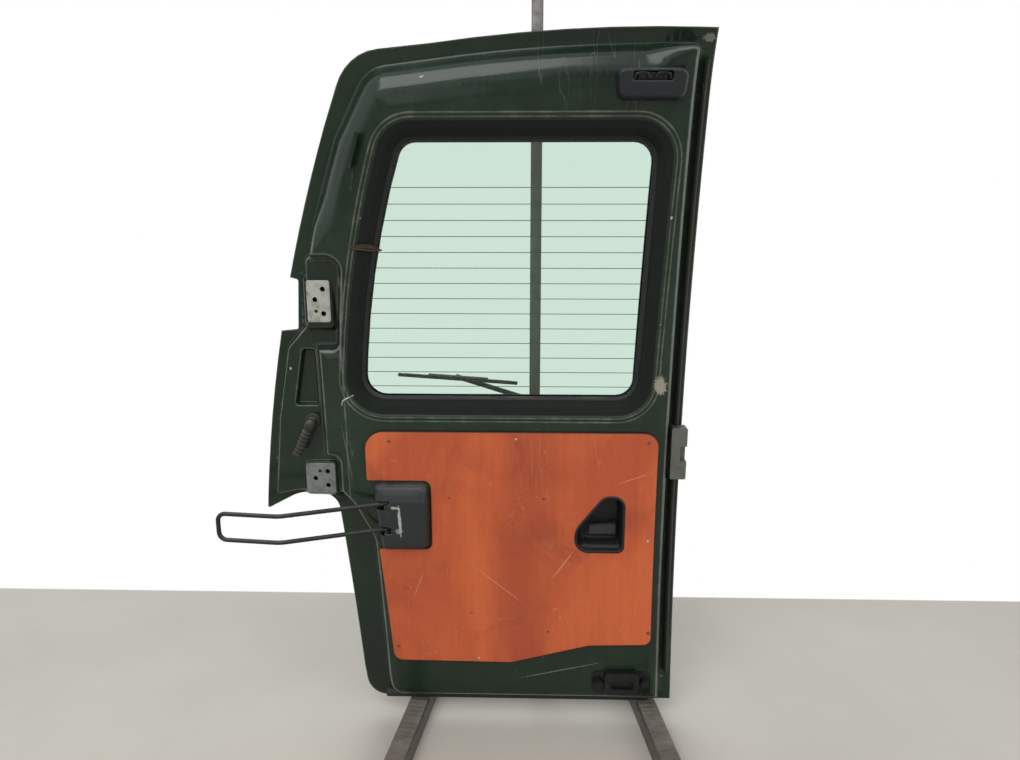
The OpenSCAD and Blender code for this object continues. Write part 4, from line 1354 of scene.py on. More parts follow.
    def wear_and_highlight(self, p: np.ndarray) -> np.ndarray:
        """Marks pale lines along the crisp edges: rubbed paint, and painted highlights where the edges catch
        the light.

        Args:
            p: Points in x and z, in millimetres.

        Returns:
            The strength of the pale line at each.
        """
        crisp = 1 - 0.85 * self.softness(p)
        u = signed_distance(p, self._window)
        face = -signed_distance(p, self._face)
        bay = -signed_distance(p, self._bay)
        groove = signed_distance(p, self._groove)
        rim = -signed_distance(p, self._outline)
        lines = [
            (u, 32, 2.6, 0.66), (u, 38.5, 2.4, 0.70), (face, 12, 3.0, 0.80 * crisp),
            (bay, 6.5, 2.4, 0.72), (groove, 1.5, 2.2, 0.66), (rim, 0, 1.6, 0.85)]
        glow = [strength * np.exp(-((at - place) / width)**2) for at, place, width, strength in lines]
        return np.clip(np.max(glow, axis=0), 0, 1)

    def dirt(self, p: np.ndarray) -> np.ndarray:
        """Marks where dust and dirt have settled: in the creases and on the flange.

        Args:
            p: Points in x and z, in millimetres.

        Returns:
            The dirt at each.
        """
        face = -signed_distance(p, self._face)
        bay = -signed_distance(p, self._bay)
        crease = (0.75 - 0.5 * self.softness(p)) * np.exp(-((face - 0.5) / 3.5)**2)
        step = 0.6 * np.exp(-((bay - 0.5) / 3.0)**2)
        flange = np.where((face < 0) & (bay < 0), 0.32, 0.0)
        floor = np.where((face < 0) & (bay > 8), 0.30, 0.0)
        ledge = 0.35 * np.exp(-((signed_distance(p, self._window) - 22) / 8.0)**2)
        ledge = np.where(p[:, 1] < FORM.window_low, ledge, 0)
        return np.clip(np.max([crease, step, flange, floor, ledge], axis=0), 0, 1)

    def build(self) -> None:
        """Builds the panel in place of its solid."""
        self._face = self.face_path()
        self._bay = self.bay_path()
        self._groove = self.groove_path()
        self._window = FORM.window_path()
        self._outline = FORM.door_path(1)
        rings = [inset(resample(self._face, 5), d) for d in self.face_rings]
        rings += [inset(resample(self._bay, 5), d) for d in self.bay_rings]
        rings += [inset(resample(self._groove, 4), d) for d in self.groove_rings]
        rings += [inset(resample(self._window, 5), -d) for d in self.reveal_rings]
        rings += [inset(resample(self._outline, 5), d) for d in self.hem_rings]
        rings += [inset(resample(self._face, 6), d) for d in self.swell_rings]
        left, right, low, high = self.access_hole
        access = rounded([(x, z, 30) for x, z in ((left, low), (right, low), (right, high), (left, high))])
        holes = [self._window, *UPPER_HINGE.holes(), *LOWER_HINGE.holes(), cup_path(6), access]
        for plate in (UPPER_HINGE, LOWER_HINGE):
            rings += [inset(resample(plate.pad_path(), 4), d) for d in (-8, -6, -4, -2, 0, 1.5, 3)]
        relief = Relief(self._outline, self.depth, lambda p, d: d - FORM.sheet, holes, rings,
                        self.grid, self.step)
        mesh = relief.build("inner_panel", {"wear_and_highlight": self.wear_and_highlight, "dirt": self.dirt, "deep": self.deep})
        add_piece("inner_panel", mesh, PRESSED, ROOT, ["inner_pressing"])


def circle_path(at: tuple[float, float], radius: float, steps: int = 24) -> np.ndarray:
    """Gives a circle as a closed path."""
    turn = np.linspace(0, 2 * math.pi, steps, endpoint=False)
    return np.array(at) + radius * np.stack([np.cos(turn), np.sin(turn)], axis=1)


def cup_path(g: float = 0) -> np.ndarray:
    """Gives the teardrop outline of the handle cup, grown by g.

    Args:
        g: How far outside the real line.

    Returns:
        The closed path.
    """
    x, z = HANDLE_AT
    return rounded([
        (x + 44 + g, z - 46 - g, 11 + g), (x + 44 + g, z + 60 + g, 20 + g), (x + 7, z + 61 + g, 22 + g),
        (x - 44 - g, z - 4, 40 + g), (x - 43 - g, z - 46 - g, 24 + g)])


HANDLE_AT = (-148.0, 364.0)


@dataclass(frozen=True)
class HingePlate:
    """A hinge plate on its pad, with its bolt holes and its smaller holes."""
    name: str
    node: str
    at: tuple[float, float]
    size: tuple[float, float]
    rim: tuple[float, float]
    bolts: tuple[tuple[float, float], ...]
    extra: tuple[tuple[float, float, float], ...]
    finish: Finish
    bolt: float = 9.0
    thick: float = 3.0
    pad_out: float = 5.0

    @property
    def pad_level(self) -> float:
        """The place of the pad's flat front."""
        return float(FORM.surface(self.at[1], 0)) - FORM.bay_depth - self.pad_out

    def block_path(self, rim: tuple[float, float], radius: float) -> np.ndarray:
        """Gives a rounded block around the plate's middle.

        Args:
            rim: How much wider and higher it is than the plate.
            radius: The corners' radius.

        Returns:
            The closed path.
        """
        w, h = self.size[0] / 2 + rim[0], self.size[1] / 2 + rim[1]
        x, z = self.at
        return rounded([(x + a * w, z + b * h, radius) for a, b in ((-1, -1), (1, -1), (1, 1), (-1, 1))])

    def pad_path(self) -> np.ndarray:
        """Gives the pad's outline."""
        return self.block_path(self.rim, 6)

    def holes(self) -> list[np.ndarray]:
        """Gives the bolt holes."""
        x, z = self.at
        return [circle_path((x + dx, z + dz), self.bolt / 2) for dx, dz in self.bolts]

    def build(self) -> None:
        """Builds the plate in place of its solid."""
        x, z = self.at
        small = [circle_path((x + dx, z + dz), r, 12) for dx, dz, r in self.extra]
        outline = self.block_path((0, 0), 4)
        edge = Profile(((-9, 2.2), (0, 2.2), (0.8, self.thick), (99, self.thick)), 0.3)
        plate = Relief(outline, lambda p: edge(-signed_distance(p, outline)), lambda p, d: d * 0,
                       [*self.holes(), *small], [inset(resample(outline, 2), d) for d in (0.8, 2)], 4, 2,
                       lambda level, depth: np.zeros(len(level)) + self.pad_level - depth)
        add_piece(self.name, plate.build(self.name), self.finish, ROOT, [self.node])


UPPER_HINGE = HingePlate("upper_plate", "hinge_plate_upper", (-639, 776), (40, 72), (4, 10),
                         ((8, 21), (8, -21), (-6, 3)), ((-5, -17, 3.2),), PRIMER)
LOWER_HINGE = HingePlate("lower_plate", "hinge_plate_lower", (-659, 447), (54, 58), (2, 2),
                         ((13, 13.5), (13, -13.5), (-10, 0)), ((-1, 14, 3.4),), PRIMER_DARK)


class Drive(Enum):
    """How a screw or bolt is turned."""
    CROSS = "cross"
    HEX = "hex"
    PLAIN = "plain"


@dataclass(frozen=True)
class Fastener:
    """A screw, bolt or rivet on the door's inner side."""
    at: tuple[float, float]
    depth: float
    radius: float = 4.5
    rise: float = 2.2
    drive: Drive = Drive.CROSS
    washer: float = 0.0

    def rings(self) -> list[np.ndarray]:
        """Gives the head's rings, each as radius and height over the seat.

        Returns:
            The rings, in the head's own frame.
        """
        sides = 32
        turn = np.linspace(0, 2 * math.pi, sides, endpoint=False)
        r, h = self.radius, self.rise
        hexed = r / np.cos((turn + math.pi / 6) % (math.pi / 3) - math.pi / 6)
        round_ = np.full(sides, 1.0)
        cross = np.where(np.abs(np.cos(2 * turn)) > 0.86, 0.52, 0.16) * r
        rows = [(round_ * self.washer, 0.0), (round_ * self.washer, 0.9)] if self.washer else []
        base = 0.9 if self.washer else 0.0
        if self.drive is Drive.HEX:
            rows += [(hexed, base), (hexed, base + h * 0.85), (hexed * 0.93, base + h),
                     (round_ * r * 0.5, base + h * 1.02)]
        else:
            rows += [(round_ * r, base), (round_ * r, base + h * 0.3), (round_ * r * 0.9, base + h * 0.68),
                     (round_ * r * 0.68, base + h * 0.95)]
        if self.drive is Drive.CROSS:
            rows += [(cross, base + h), (cross * 0.9, base + h * 0.25)]
        rows.append((round_ * 0.05, rows[-1][1]))
        return [np.column_stack([ring * np.cos(turn), np.full(sides, out), ring * np.sin(turn)])
                for ring, out in rows]

    def parts(self) -> Solid:
        """Gives the points and faces on the door's curve.

        Returns:
            The points and faces.
        """
        x, z = self.at
        lean = (z - FORM.bow_level) / FORM.bow_radius
        cos, sin = math.sqrt(1 - lean * lean), lean
        seat = np.array([x, float(FORM.surface(z, self.depth)), z])
        turned = []
        for ring in self.rings():
            out = -ring[:, 1]
            y, up = out * cos - ring[:, 2] * sin, out * sin + ring[:, 2] * cos
            turned.append(seat + np.column_stack([ring[:, 0], y, up]))
        return loft(turned)


def fasteners(name: str, finish: Finish, items: Sequence[Fastener]) -> None:
    """Adds a set of screws as one piece.

    Args:
        name: The piece's name.
        finish: Its finish.
        items: The screws.
    """
    points, faces = join_parts([item.parts() for item in items])
    add_piece(name, plain_mesh(name, points, faces, math.radians(30)), finish)


def moulding(path_of: Callable[[float], np.ndarray], section: Sequence[tuple[float, float]]) -> Solid:
    """Sweeps a section along a closed path of the door.

    Args:
        path_of: The path, grown by a distance.
        section: Pairs of that distance and of depth, round the section.

    Returns:
        The moulding's points and faces.
    """
    return loft([FORM.lift(path_of(grow), depth) for grow, depth in section], True)


@dataclass
class Window:
    """The heated window: its printed wires, its rubber strip, and what is left of the heater's lead."""
    glass_face: float = 5.5
    wires: int = 14
    wire_top: float = 965
    wire_step: float = 26.6
    wire_width: float = 1.2
    lead_z: float = 869
    lead_run: tuple[float, ...] = (-574, -562, -549, -542, -536, -528)
    lead_depths: tuple[float, ...] = (48, 46.5, 41, 27, 12, 9)
    strands: tuple[tuple[float, float], ...] = ((2, 1.5), (5, 1.2), (-2, 1.3), (7, 0.8))
    clip: tuple[tuple[float, float, float], ...] = (
        (-607, 593, 47.4), (-605, 601, 47.6), (-598, 605, 45.4), (-587, 610, 41))
    section: tuple[tuple[float, float], ...] = (
        (8, 7), (0.6, 7), (0, 9.5), (0.4, 12), (2, 14), (4.5, 15.6), (7, 16), (8, 14))

    def edge_x(self, z: float) -> float:
        """Gives x of the opening's edge near the closing side."""
        f = FORM
        return -f.window_x - f.window_rake * (f.window_top - z) / (f.window_top - f.window_low)

    def heater(self) -> None:
        """Prints the heater's wires on the glass."""
        parts = []
        level = self.glass_face + 0.1
        half = self.wire_width / 2
        for k in range(self.wires):
            z = self.wire_top - k * self.wire_step
            left, right = FORM.window_side(z, -2), self.edge_x(z) - 2
            flat = np.array([(left, z - half), (right, z - half), (right, z + half), (left, z + half)])
            parts.append(loft([FORM.lift(flat, level), FORM.lift(flat, level + 0.15)]))
        points, faces = join_parts(parts)
        add_piece("heater_wires", plain_mesh("heater_wires", points, faces), HEATER)

    def lead(self) -> None:
        """Leaves the frayed end of the heater's lead, and the clip below it."""
        parts = []
        run, depths = np.array(self.lead_run), np.array(self.lead_depths)
        for k, (droop, radius) in enumerate(self.strands):
            at = np.linspace(0, 1, 15)
            places = np.interp(at, np.linspace(0, 1, len(run)), run)
            heights = self.lead_z - 7 * at + droop * np.sin(math.pi * at)
            inward = np.interp(at, np.linspace(0, 1, len(run)), depths) + 0.7 * k
            line = np.array([(x, float(FORM.surface(z, d)), z) for x, z, d in zip(places, heights, inward)])
            parts.append(tube(line, radius, 8))
        points, faces = join_parts(parts)
        add_piece("heater_lead", plain_mesh("heater_lead", points, faces), TAPE)
        bar = np.array([(x, float(FORM.surface(z, d)), z) for x, z, d in self.clip])
        add_piece("reveal_clip", plain_mesh("reveal_clip", *tube(resample(bar, 2, False), 1.5, 10)), ZINC)

    def build(self) -> None:
        """Builds the heater's wires, the strip, the lead and the clip."""
        points, faces = moulding(FORM.window_path, self.section)
        add_piece("glass_strip", plain_mesh("glass_strip", points, faces), RUBBER, ROOT, ["window_seal"])
        self.heater()
        self.lead()


@dataclass
class TrimBoard:
    """The stained plywood board, with its screws."""
    thick: float = 6
    closing_x: float = 48
    hinge_x: float = 570
    top: float = 545
    low: float = 136
    drop: float = 36
    cover_x: float = 454
    cover_z: tuple[float, float] = (320, 452)
    screws: tuple[tuple[float, float], ...] = ((-526, 528), (-65, 528), (-520, 128), (-53, 160))
    pins: tuple[tuple[float, float], ...] = ((-369, 106), (-300, 533), (-60, 340))
    screw: tuple[float, float] = (3.6, 1.6)
    pin: tuple[float, float] = (2.2, 0.8)
    sunk: float = 0.6
    grid: float = 24
    step: float = 4

    def path(self) -> np.ndarray:
        """Gives the board's outline.

        Returns:
            The closed path.
        """
        foot = self.low - self.drop
        low, high = self.cover_z
        return rounded([
            (-self.closing_x, self.low, 14), (-self.closing_x, self.top, 26), (-self.hinge_x, self.top, 34),
            (-self.hinge_x, high, 4), (-self.cover_x, high, 14), (-self.cover_x, low, 12),
            (-self.hinge_x + 18, low, 3), (-self.hinge_x + 42, foot, 18), (-308, foot - 2, 24),
            (-164, self.low - 3, 40)])

    def build(self) -> None:
        """Builds the board and its screws."""
        outline, hole = self.path(), cup_path(0.3)
        face = FORM.depth + self.thick
        edge = Profile(((-9, face - 0.7), (0, face - 0.7), (0.9, face), (999, face)), 0.3)

        def away(p: np.ndarray) -> np.ndarray:
            """Gives the distance from the nearest edge."""
            return np.minimum(-signed_distance(p, outline), signed_distance(p, hole))

        def rim(p: np.ndarray) -> np.ndarray:
            """Marks the edge of the handle's hole."""
            return np.clip(1 - signed_distance(p, hole) / 2.2, 0, 1)

        def side(p: np.ndarray) -> np.ndarray:
            """Marks the board's outer edge, which the finish darkens as painted shadow."""
            return np.clip(1 + signed_distance(p, outline) / 1.8, 0, 1)

        rings = [inset(resample(outline, 4), d) for d in (0.9, 2.4, 4.5)]
        rings += [inset(resample(hole, 4), -d) for d in (0.9, 2.4, 4.5)]
        board = Relief(outline, lambda p: edge(away(p)), lambda p, d: d * 0 + FORM.depth, [hole], rings,
                       self.grid, self.step)
        mesh = board.build("plywood_board", {"rim": rim, "side": side})
        add_piece("plywood_board", mesh, PLY, ROOT, ["trim_board"])
        fasteners("board_screws", RUSTY, [Fastener(at, face - self.sunk, *self.screw) for at in self.screws])
        fasteners("board_pins", BRIGHT, [Fastener(at, face, *self.pin, Drive.PLAIN) for at in self.pins])


@dataclass
class DoorCheck:
    """The moulded check cover and the wire loop that swings in its bracket."""
    cover_x: tuple[float, float] = (456, 560)
    cover_z: tuple[float, float] = (322, 450)
    lean: float = 14
    wall: float = 3
    leg_z: tuple[float, float] = (361.5, 410.5)
    slot_h: float = 18
    slot_end: float = -524
    section: Profile = Profile(((-9, 46.5), (0, 48), (3, 62), (9, 68.6), (20, 70), (99, 70)), 1.6)
    wire: float = 8
    pin: tuple[float, float] = (-532, -57)
    pin_run: float = 21.6
    leg_in: float = 190
    leg_out: float = 112
    rise: float = 20
    bend: float = 26

    def path(self) -> np.ndarray:
        """Gives the cover's outline."""
        (near, far), (low, high) = self.cover_x, self.cover_z
        return rounded([(-far + self.lean, low, 8), (-near, low, 15), (-near, high, 17), (-far, high, 10)])

    def notched(self) -> np.ndarray:
        """Gives the outline with its two slots for the loop's legs.

        Returns:
            The closed path.
        """
        (near, far), (low, high) = self.cover_x, self.cover_z
        corners = [(-far + self.lean, low, 8), (-near, low, 15), (-near, high, 17), (-far, high, 10)]
        for z in reversed(self.leg_z):
            for at in (z + self.slot_h / 2, z - self.slot_h / 2):
                edge = -far + self.lean * (high - at) / (high - low)
                pair = [(edge, at, 1.2), (self.slot_end, at, 2.5)]
                corners += pair if at > z else pair[::-1]
        return rounded(corners)

    def cover(self) -> None:
        """Builds the cover."""
        outline, form = self.notched(), self.path()
        low, high = self.cover_z

        def depth(p: np.ndarray) -> np.ndarray:
            """Gives the depth of the cover's face."""
            flat = self.section(-signed_distance(p, form))
            slope = np.interp(p[:, 1], [low, high - 34, high], [0, 0, -9])
            return np.maximum(flat + slope, FORM.depth + 0.4)

        rings = [inset(resample(form, 3), d) for d in (1, 2, 3, 4.5, 6, 8, 10, 13, 17)]
        rings += [inset(resample(outline, 3), d) for d in (0.8, 2)]
        inner = FORM.depth - 1.4
        relief = Relief(outline, depth, lambda p, d: np.maximum(d - self.wall, inner), (), rings, 7, 3)
        add_piece("moulded_check_cover", relief.build("moulded_check_cover"), COVER, ROOT, ["check_cover"])

    def loop(self) -> None:
        """Builds the loop."""
        angles = [math.radians(a) for a in (self.rise, self.rise - self.bend)]
        start = np.array(self.pin)
        turn = start + self.leg_in * np.array([-math.cos(angles[0]), -math.sin(angles[0])])
        end = turn + self.leg_out * np.array([-math.cos(angles[1]), -math.sin(angles[1])])
        low, high = self.leg_z
        run = self.pin_run
        corners = [(*start, low - run), (*start, low), (*turn, low), (*end, low),
                   (*end, high), (*turn, high), (*start, high), (*start, high + run)]
        radii = [0, 8, 40, 14, 14, 40, 8, 0]
        points, faces = tube(bent(corners, radii), self.wire / 2, 20)
        add_piece("wire_loop", plain_mesh("wire_loop", points, faces), WIRE, BODY_CHECK, ["check_loop"])

    def build(self) -> None:
        """Builds the cover and the loop."""
        self.cover()
        self.loop()


def bent(corners: Sequence[Sequence[float]], radii: Sequence[float], steps: int = 8) -> np.ndarray:
    """Makes an open path in space from corners and the radius of each.

    Args:
        corners: The corners.
        radii: The radius at each.
        steps: Segments of each bend.

    Returns:
        The path's points.
    """
    rows = [np.array(p, float) for p in corners]
    path = [rows[0]]
    for i in range(1, len(rows) - 1):
        path += corner(rows[i - 1], rows[i], rows[i + 1], radii[i], steps)
    return np.array([*path, rows[-1]])


@dataclass
class InnerHandle:
    """The moulded cup of the inner handle, with the ears and the pin of its lever."""
    lip: float = 1.6
    floor: float = 20
    wall: float = 2
    lever_x: float = -120
    lever_y: float = -32
    lever_z: float = 357
    lever_h: float = 18
    ear: float = 3
    gap: float = 0.4
    pin_radius: float = 2.5
    section: Profile = Profile(
        ((-9, 52.4), (0, 52.6), (1.2, 53.8), (3.4, 54), (5.2, 53), (7.2, 34), (9.5, 24), (14, 20),
         (99, 20)), 0.9)
    steps: tuple[float, ...] = (0.6, 1.3, 2.4, 3.6, 4.6, 5.4, 6.2, 7.2, 8.4, 9.6, 12, 15)

    def cup(self) -> None:
        """Builds the cup."""
        outline = cup_path(self.lip)
        ledge_top = HANDLE_AT[1] - 30

        def depth(p: np.ndarray) -> np.ndarray:
            """Gives the depth of the cup's face."""
            hollow = self.section(-signed_distance(p, outline))
            ledge = np.interp(p[:, 1], [ledge_top - 18, ledge_top - 6, ledge_top + 4], [46, 42, 0])
            return soft_max(hollow, np.minimum(ledge, hollow + 24), 2.0)

        rings = [inset(resample(outline, 3), d) for d in self.steps]
        relief = Relief(outline, depth, lambda p, d: d - self.wall, (), rings, 5, 3)
        add_piece("handle_recess", relief.build("handle_recess"), DARK, ROOT, ["handle_cup"])

    def ears(self) -> None:
        """Builds the ears that carry the lever, and its pin."""
        parts = []
        deep = float(FORM.surface(self.lever_z, self.floor - 1))
        reach = self.lever_h / 2 + self.gap
        for side in (-1, 1):
            near = self.lever_z + side * reach
            far = near + side * self.ear
            turn = np.linspace(0, math.pi, 9)
            nose = np.stack([self.lever_x + 5 * np.cos(turn), self.lever_y - 5 * np.sin(turn)], axis=1)
            flat = np.vstack([nose, [(self.lever_x - 5, deep), (self.lever_x + 5, deep)]])
            rings = [np.column_stack([flat, np.full(len(flat), z)]) for z in (near, far)]
            parts.append(loft(rings))
        half = reach + self.ear + 0.6
        ends = (-half, -half + 0.5, half - 0.5, half)
        line = np.array([(self.lever_x, self.lever_y, self.lever_z + h) for h in ends])
        r = self.pin_radius
        parts.append(tube(line, np.array([r - 0.5, r, r, r - 0.5]), 16))
        points, faces = join_parts(parts)
        add_piece("lever_ears", plain_mesh("lever_ears", points, faces), DARK)

    def build(self) -> None:
        """Builds the cup and its ears."""
        self.cup()
        self.ears()


@dataclass
class Latches:
    """The top latch's moulded cover and the screws and bolts of the latches."""
    x: float = -98
    top: float = 1134
    height: float = 44
    depth: float = 15
    section: Profile = Profile(((-9, 46.5), (0, 49), (2.5, 58), (5, 60.6), (7, 61), (99, 61)), 1.2)
    jaw: tuple[tuple[float, float], ...] = ((27, -15), (25, -9), (17, -7), (8, -8), (5, -14))

    def path(self) -> np.ndarray:
        """Gives the cover's outline.

        Returns:
            The closed path.
        """
        low = self.top - self.height
        return rounded([(self.x - 50, low, 14), (self.x + 51, low, 15), (self.x + 55, self.top, 13),
                        (self.x - 55, self.top, 12)])

    def opening(self) -> np.ndarray:
        """Gives the opening over the catch."""
        x, top = self.x, self.top
        left, right = x - 29, x + 30
        return rounded([(left, top - 18, 3), (right, top - 18, 3), (right, top - 5, 3), (left, top - 5, 3)])

    def build(self) -> None:
        """Builds the cover, the catch's lip and the fasteners."""
        outline, hole = self.path(), self.opening()

        def depth(p: np.ndarray) -> np.ndarray:
            """Gives the depth of the cover's face."""
            flat = self.section(-signed_distance(p, outline))
            return flat - 1.2 * np.exp(-(signed_distance(p, hole) / 1.2)**2)

        rings = [inset(resample(outline, 3), d) for d in (0.8, 1.6, 2.5, 3.5, 5, 7)]
        rings += [inset(resample(hole, 3), -d) for d in (0.8, 1.8, 3)]
        relief = Relief(outline, depth, lambda p, d: d * 0 + FORM.depth, [hole], rings, 8, 3)
        add_piece("latch_cover", relief.build("latch_cover"), BLUISH, ROOT, ["top_latch_cover"])
        self.jaws()
        fasteners("latch_screws", OILY, [
            Fastener((self.x + dx, self.top - 11.5), FORM.depth + 10, 3.8, 1.8) for dx in (-17, 17)])
        fasteners("bottom_latch_bolts", OILY, [
            Fastener((-101 + dx, 61), FORM.depth + 12, 6.0, 4.0, Drive.HEX, 8.5) for dx in (-43.5, 43.5)])


    def jaws(self) -> None:
        """Builds the two jaws of the top latch's catch, seen in the opening."""
        parts = []
        for side in (-1, 1):
            bow = [(self.x + side * dx, self.top + dz) for dx, dz in self.jaw]
            line = np.array([(x, float(FORM.surface(z, FORM.depth + 10)), z) for x, z in bow])
            parts.append(tube(resample(line, 1.5, False), 3.0, 12))
        points, faces = join_parts(parts)
        add_piece("latch_jaws", plain_mesh("latch_jaws", points, faces), OILY)


@dataclass
class Seals:
    """The rubber seals along the closing edge and the bottom edge."""
    spans: tuple[tuple[float, float], ...] = ((60, 452.7), (549.3, 1150))
    bead: tuple[tuple[float, float], ...] = (
        (-14.6, 3), (-15, 8), (-14.6, 12), (-13.3, 15.2), (-11.3, 16.5), (-9.2, 15.2),
        (-7.9, 12), (-7.3, 8), (-7, 3))
    strip_x: tuple[float, float] = (-552, -44)
    strip: tuple[tuple[float, float, float], ...] = ((1, 3, 1), (14, 3, 1), (14, 15, 6), (1, 15, 5))

    def build(self) -> None:
        """Builds both seals."""
        parts = []
        section = np.array(self.bead)
        for low, high in self.spans:
            heights = np.linspace(low, high, max(int((high - low) / 12), 2))
            rings = []
            for z in heights:
                y = [float(FORM.surface(z, depth)) for depth in section[:, 1]]
                rings.append(np.column_stack([section[:, 0], y, np.full(len(section), z)]))
            parts.append(loft(rings))
        points, faces = join_parts(parts)
        mesh = plain_mesh("edge_seal", points, faces, math.radians(50))
        add_piece("edge_seal", mesh, DUST_AND_HIGHLIGHT, ROOT, ["meeting_seal"])
        outline = rounded(self.strip, 5)
        middle = outline.mean(0)
        rings = []
        left, right = self.strip_x
        for x, size in ((left, 0.8), (left + 2, 1.0), (right - 2, 1.0), (right, 0.8)):
            flat = middle + (outline - middle) * size
            y = [float(FORM.surface(z, depth)) for z, depth in flat]
            rings.append(np.column_stack([np.full(len(flat), x), y, flat[:, 0]]))
        points, faces = loft(rings)
        add_piece("foot_seal", plain_mesh("foot_seal", points, faces), RUBBER, ROOT, ["bottom_seal"])


@dataclass
class LoomBoot:
    """The rubber grommet of the wiring and its corrugated boot with an open end."""
    at: tuple[float, float] = (-668, 556)
    tilt: float = 25
    length: float = 62
    radius: float = 9
    throat: float = 14
    ribs: int = 8
    dip: float = 2.3

    def build(self) -> None:
        """Builds the grommet and the boot."""
        x, z = self.at
        lean = math.asin((z - FORM.bow_level) / FORM.bow_radius)
        seat = np.array([x, float(FORM.surface(z, FORM.bay_depth)), z])
        out = np.array([0, -math.cos(lean), -math.sin(lean)])
        side, drop = math.sin(math.radians(self.tilt)), math.cos(math.radians(self.tilt))
        down = np.array([-side, drop * math.sin(lean), -drop * math.cos(lean)])
        r = self.radius
        flange = [(0.1, 14), (1.2, 14), (3.4, 13), (4.2, 11), (4.6, 8.6), (self.throat, r - 1)]
        line = np.array([seat + out * h for h, _ in flange])
        mesh = plain_mesh("wiring_grommet", *tube(line, np.array([q for _, q in flange]), 32))
        add_piece("wiring_grommet", mesh, DUST_AND_HIGHLIGHT, ROOT, ["loom_grommet"])
        middle = seat + out * (self.throat + r)
        cap = [0.98, 0.85, 0.6, 0.3, 0.0]
        path = [middle - down * r * c for c in cap]
        radii = [r * math.sqrt(1 - c * c) for c in cap]
        step = self.length / (self.ribs * 2)
        for k in range(2, self.ribs * 2 + 1):
            path.append(middle + down * step * k)
            radii.append(r - (self.dip if k % 2 else 0))
        tail = middle + down * self.length
        path += [tail, tail - down * 2, tail - down * 14]
        radii += [r - 1.4, r - 2.6, r - 3.2]
        points, faces = tube_along(np.array(path), np.array(radii), down, 32)
        # The pale ring tops come from the finish's up-facing dust, which also serves as painted highlight.
        mesh = plain_mesh("corrugated_boot", points, faces, math.radians(60))
        add_piece("corrugated_boot", mesh, DUST_AND_HIGHLIGHT, ROOT, ["loom_boot"])


def tube_along(path: np.ndarray, radii: np.ndarray, along: np.ndarray, sides: int) -> Solid:
    """Makes rings square to one direction around each point of a path.

    Args:
        path: The rings' middles.
        radii: Their radii.
        along: The direction that they face.
        sides: Their sides.

    Returns:
        The points and faces.
    """
    along = unit(along)
    across = unit(np.cross(along, [0, 1, 0]))
    up = np.cross(along, across)
    turn = np.linspace(0, 2 * math.pi, sides, endpoint=False)
    circle = np.cos(turn)[:, None] * across + np.sin(turn)[:, None] * up
    return loft([p + r * circle for p, r in zip(path, radii)])


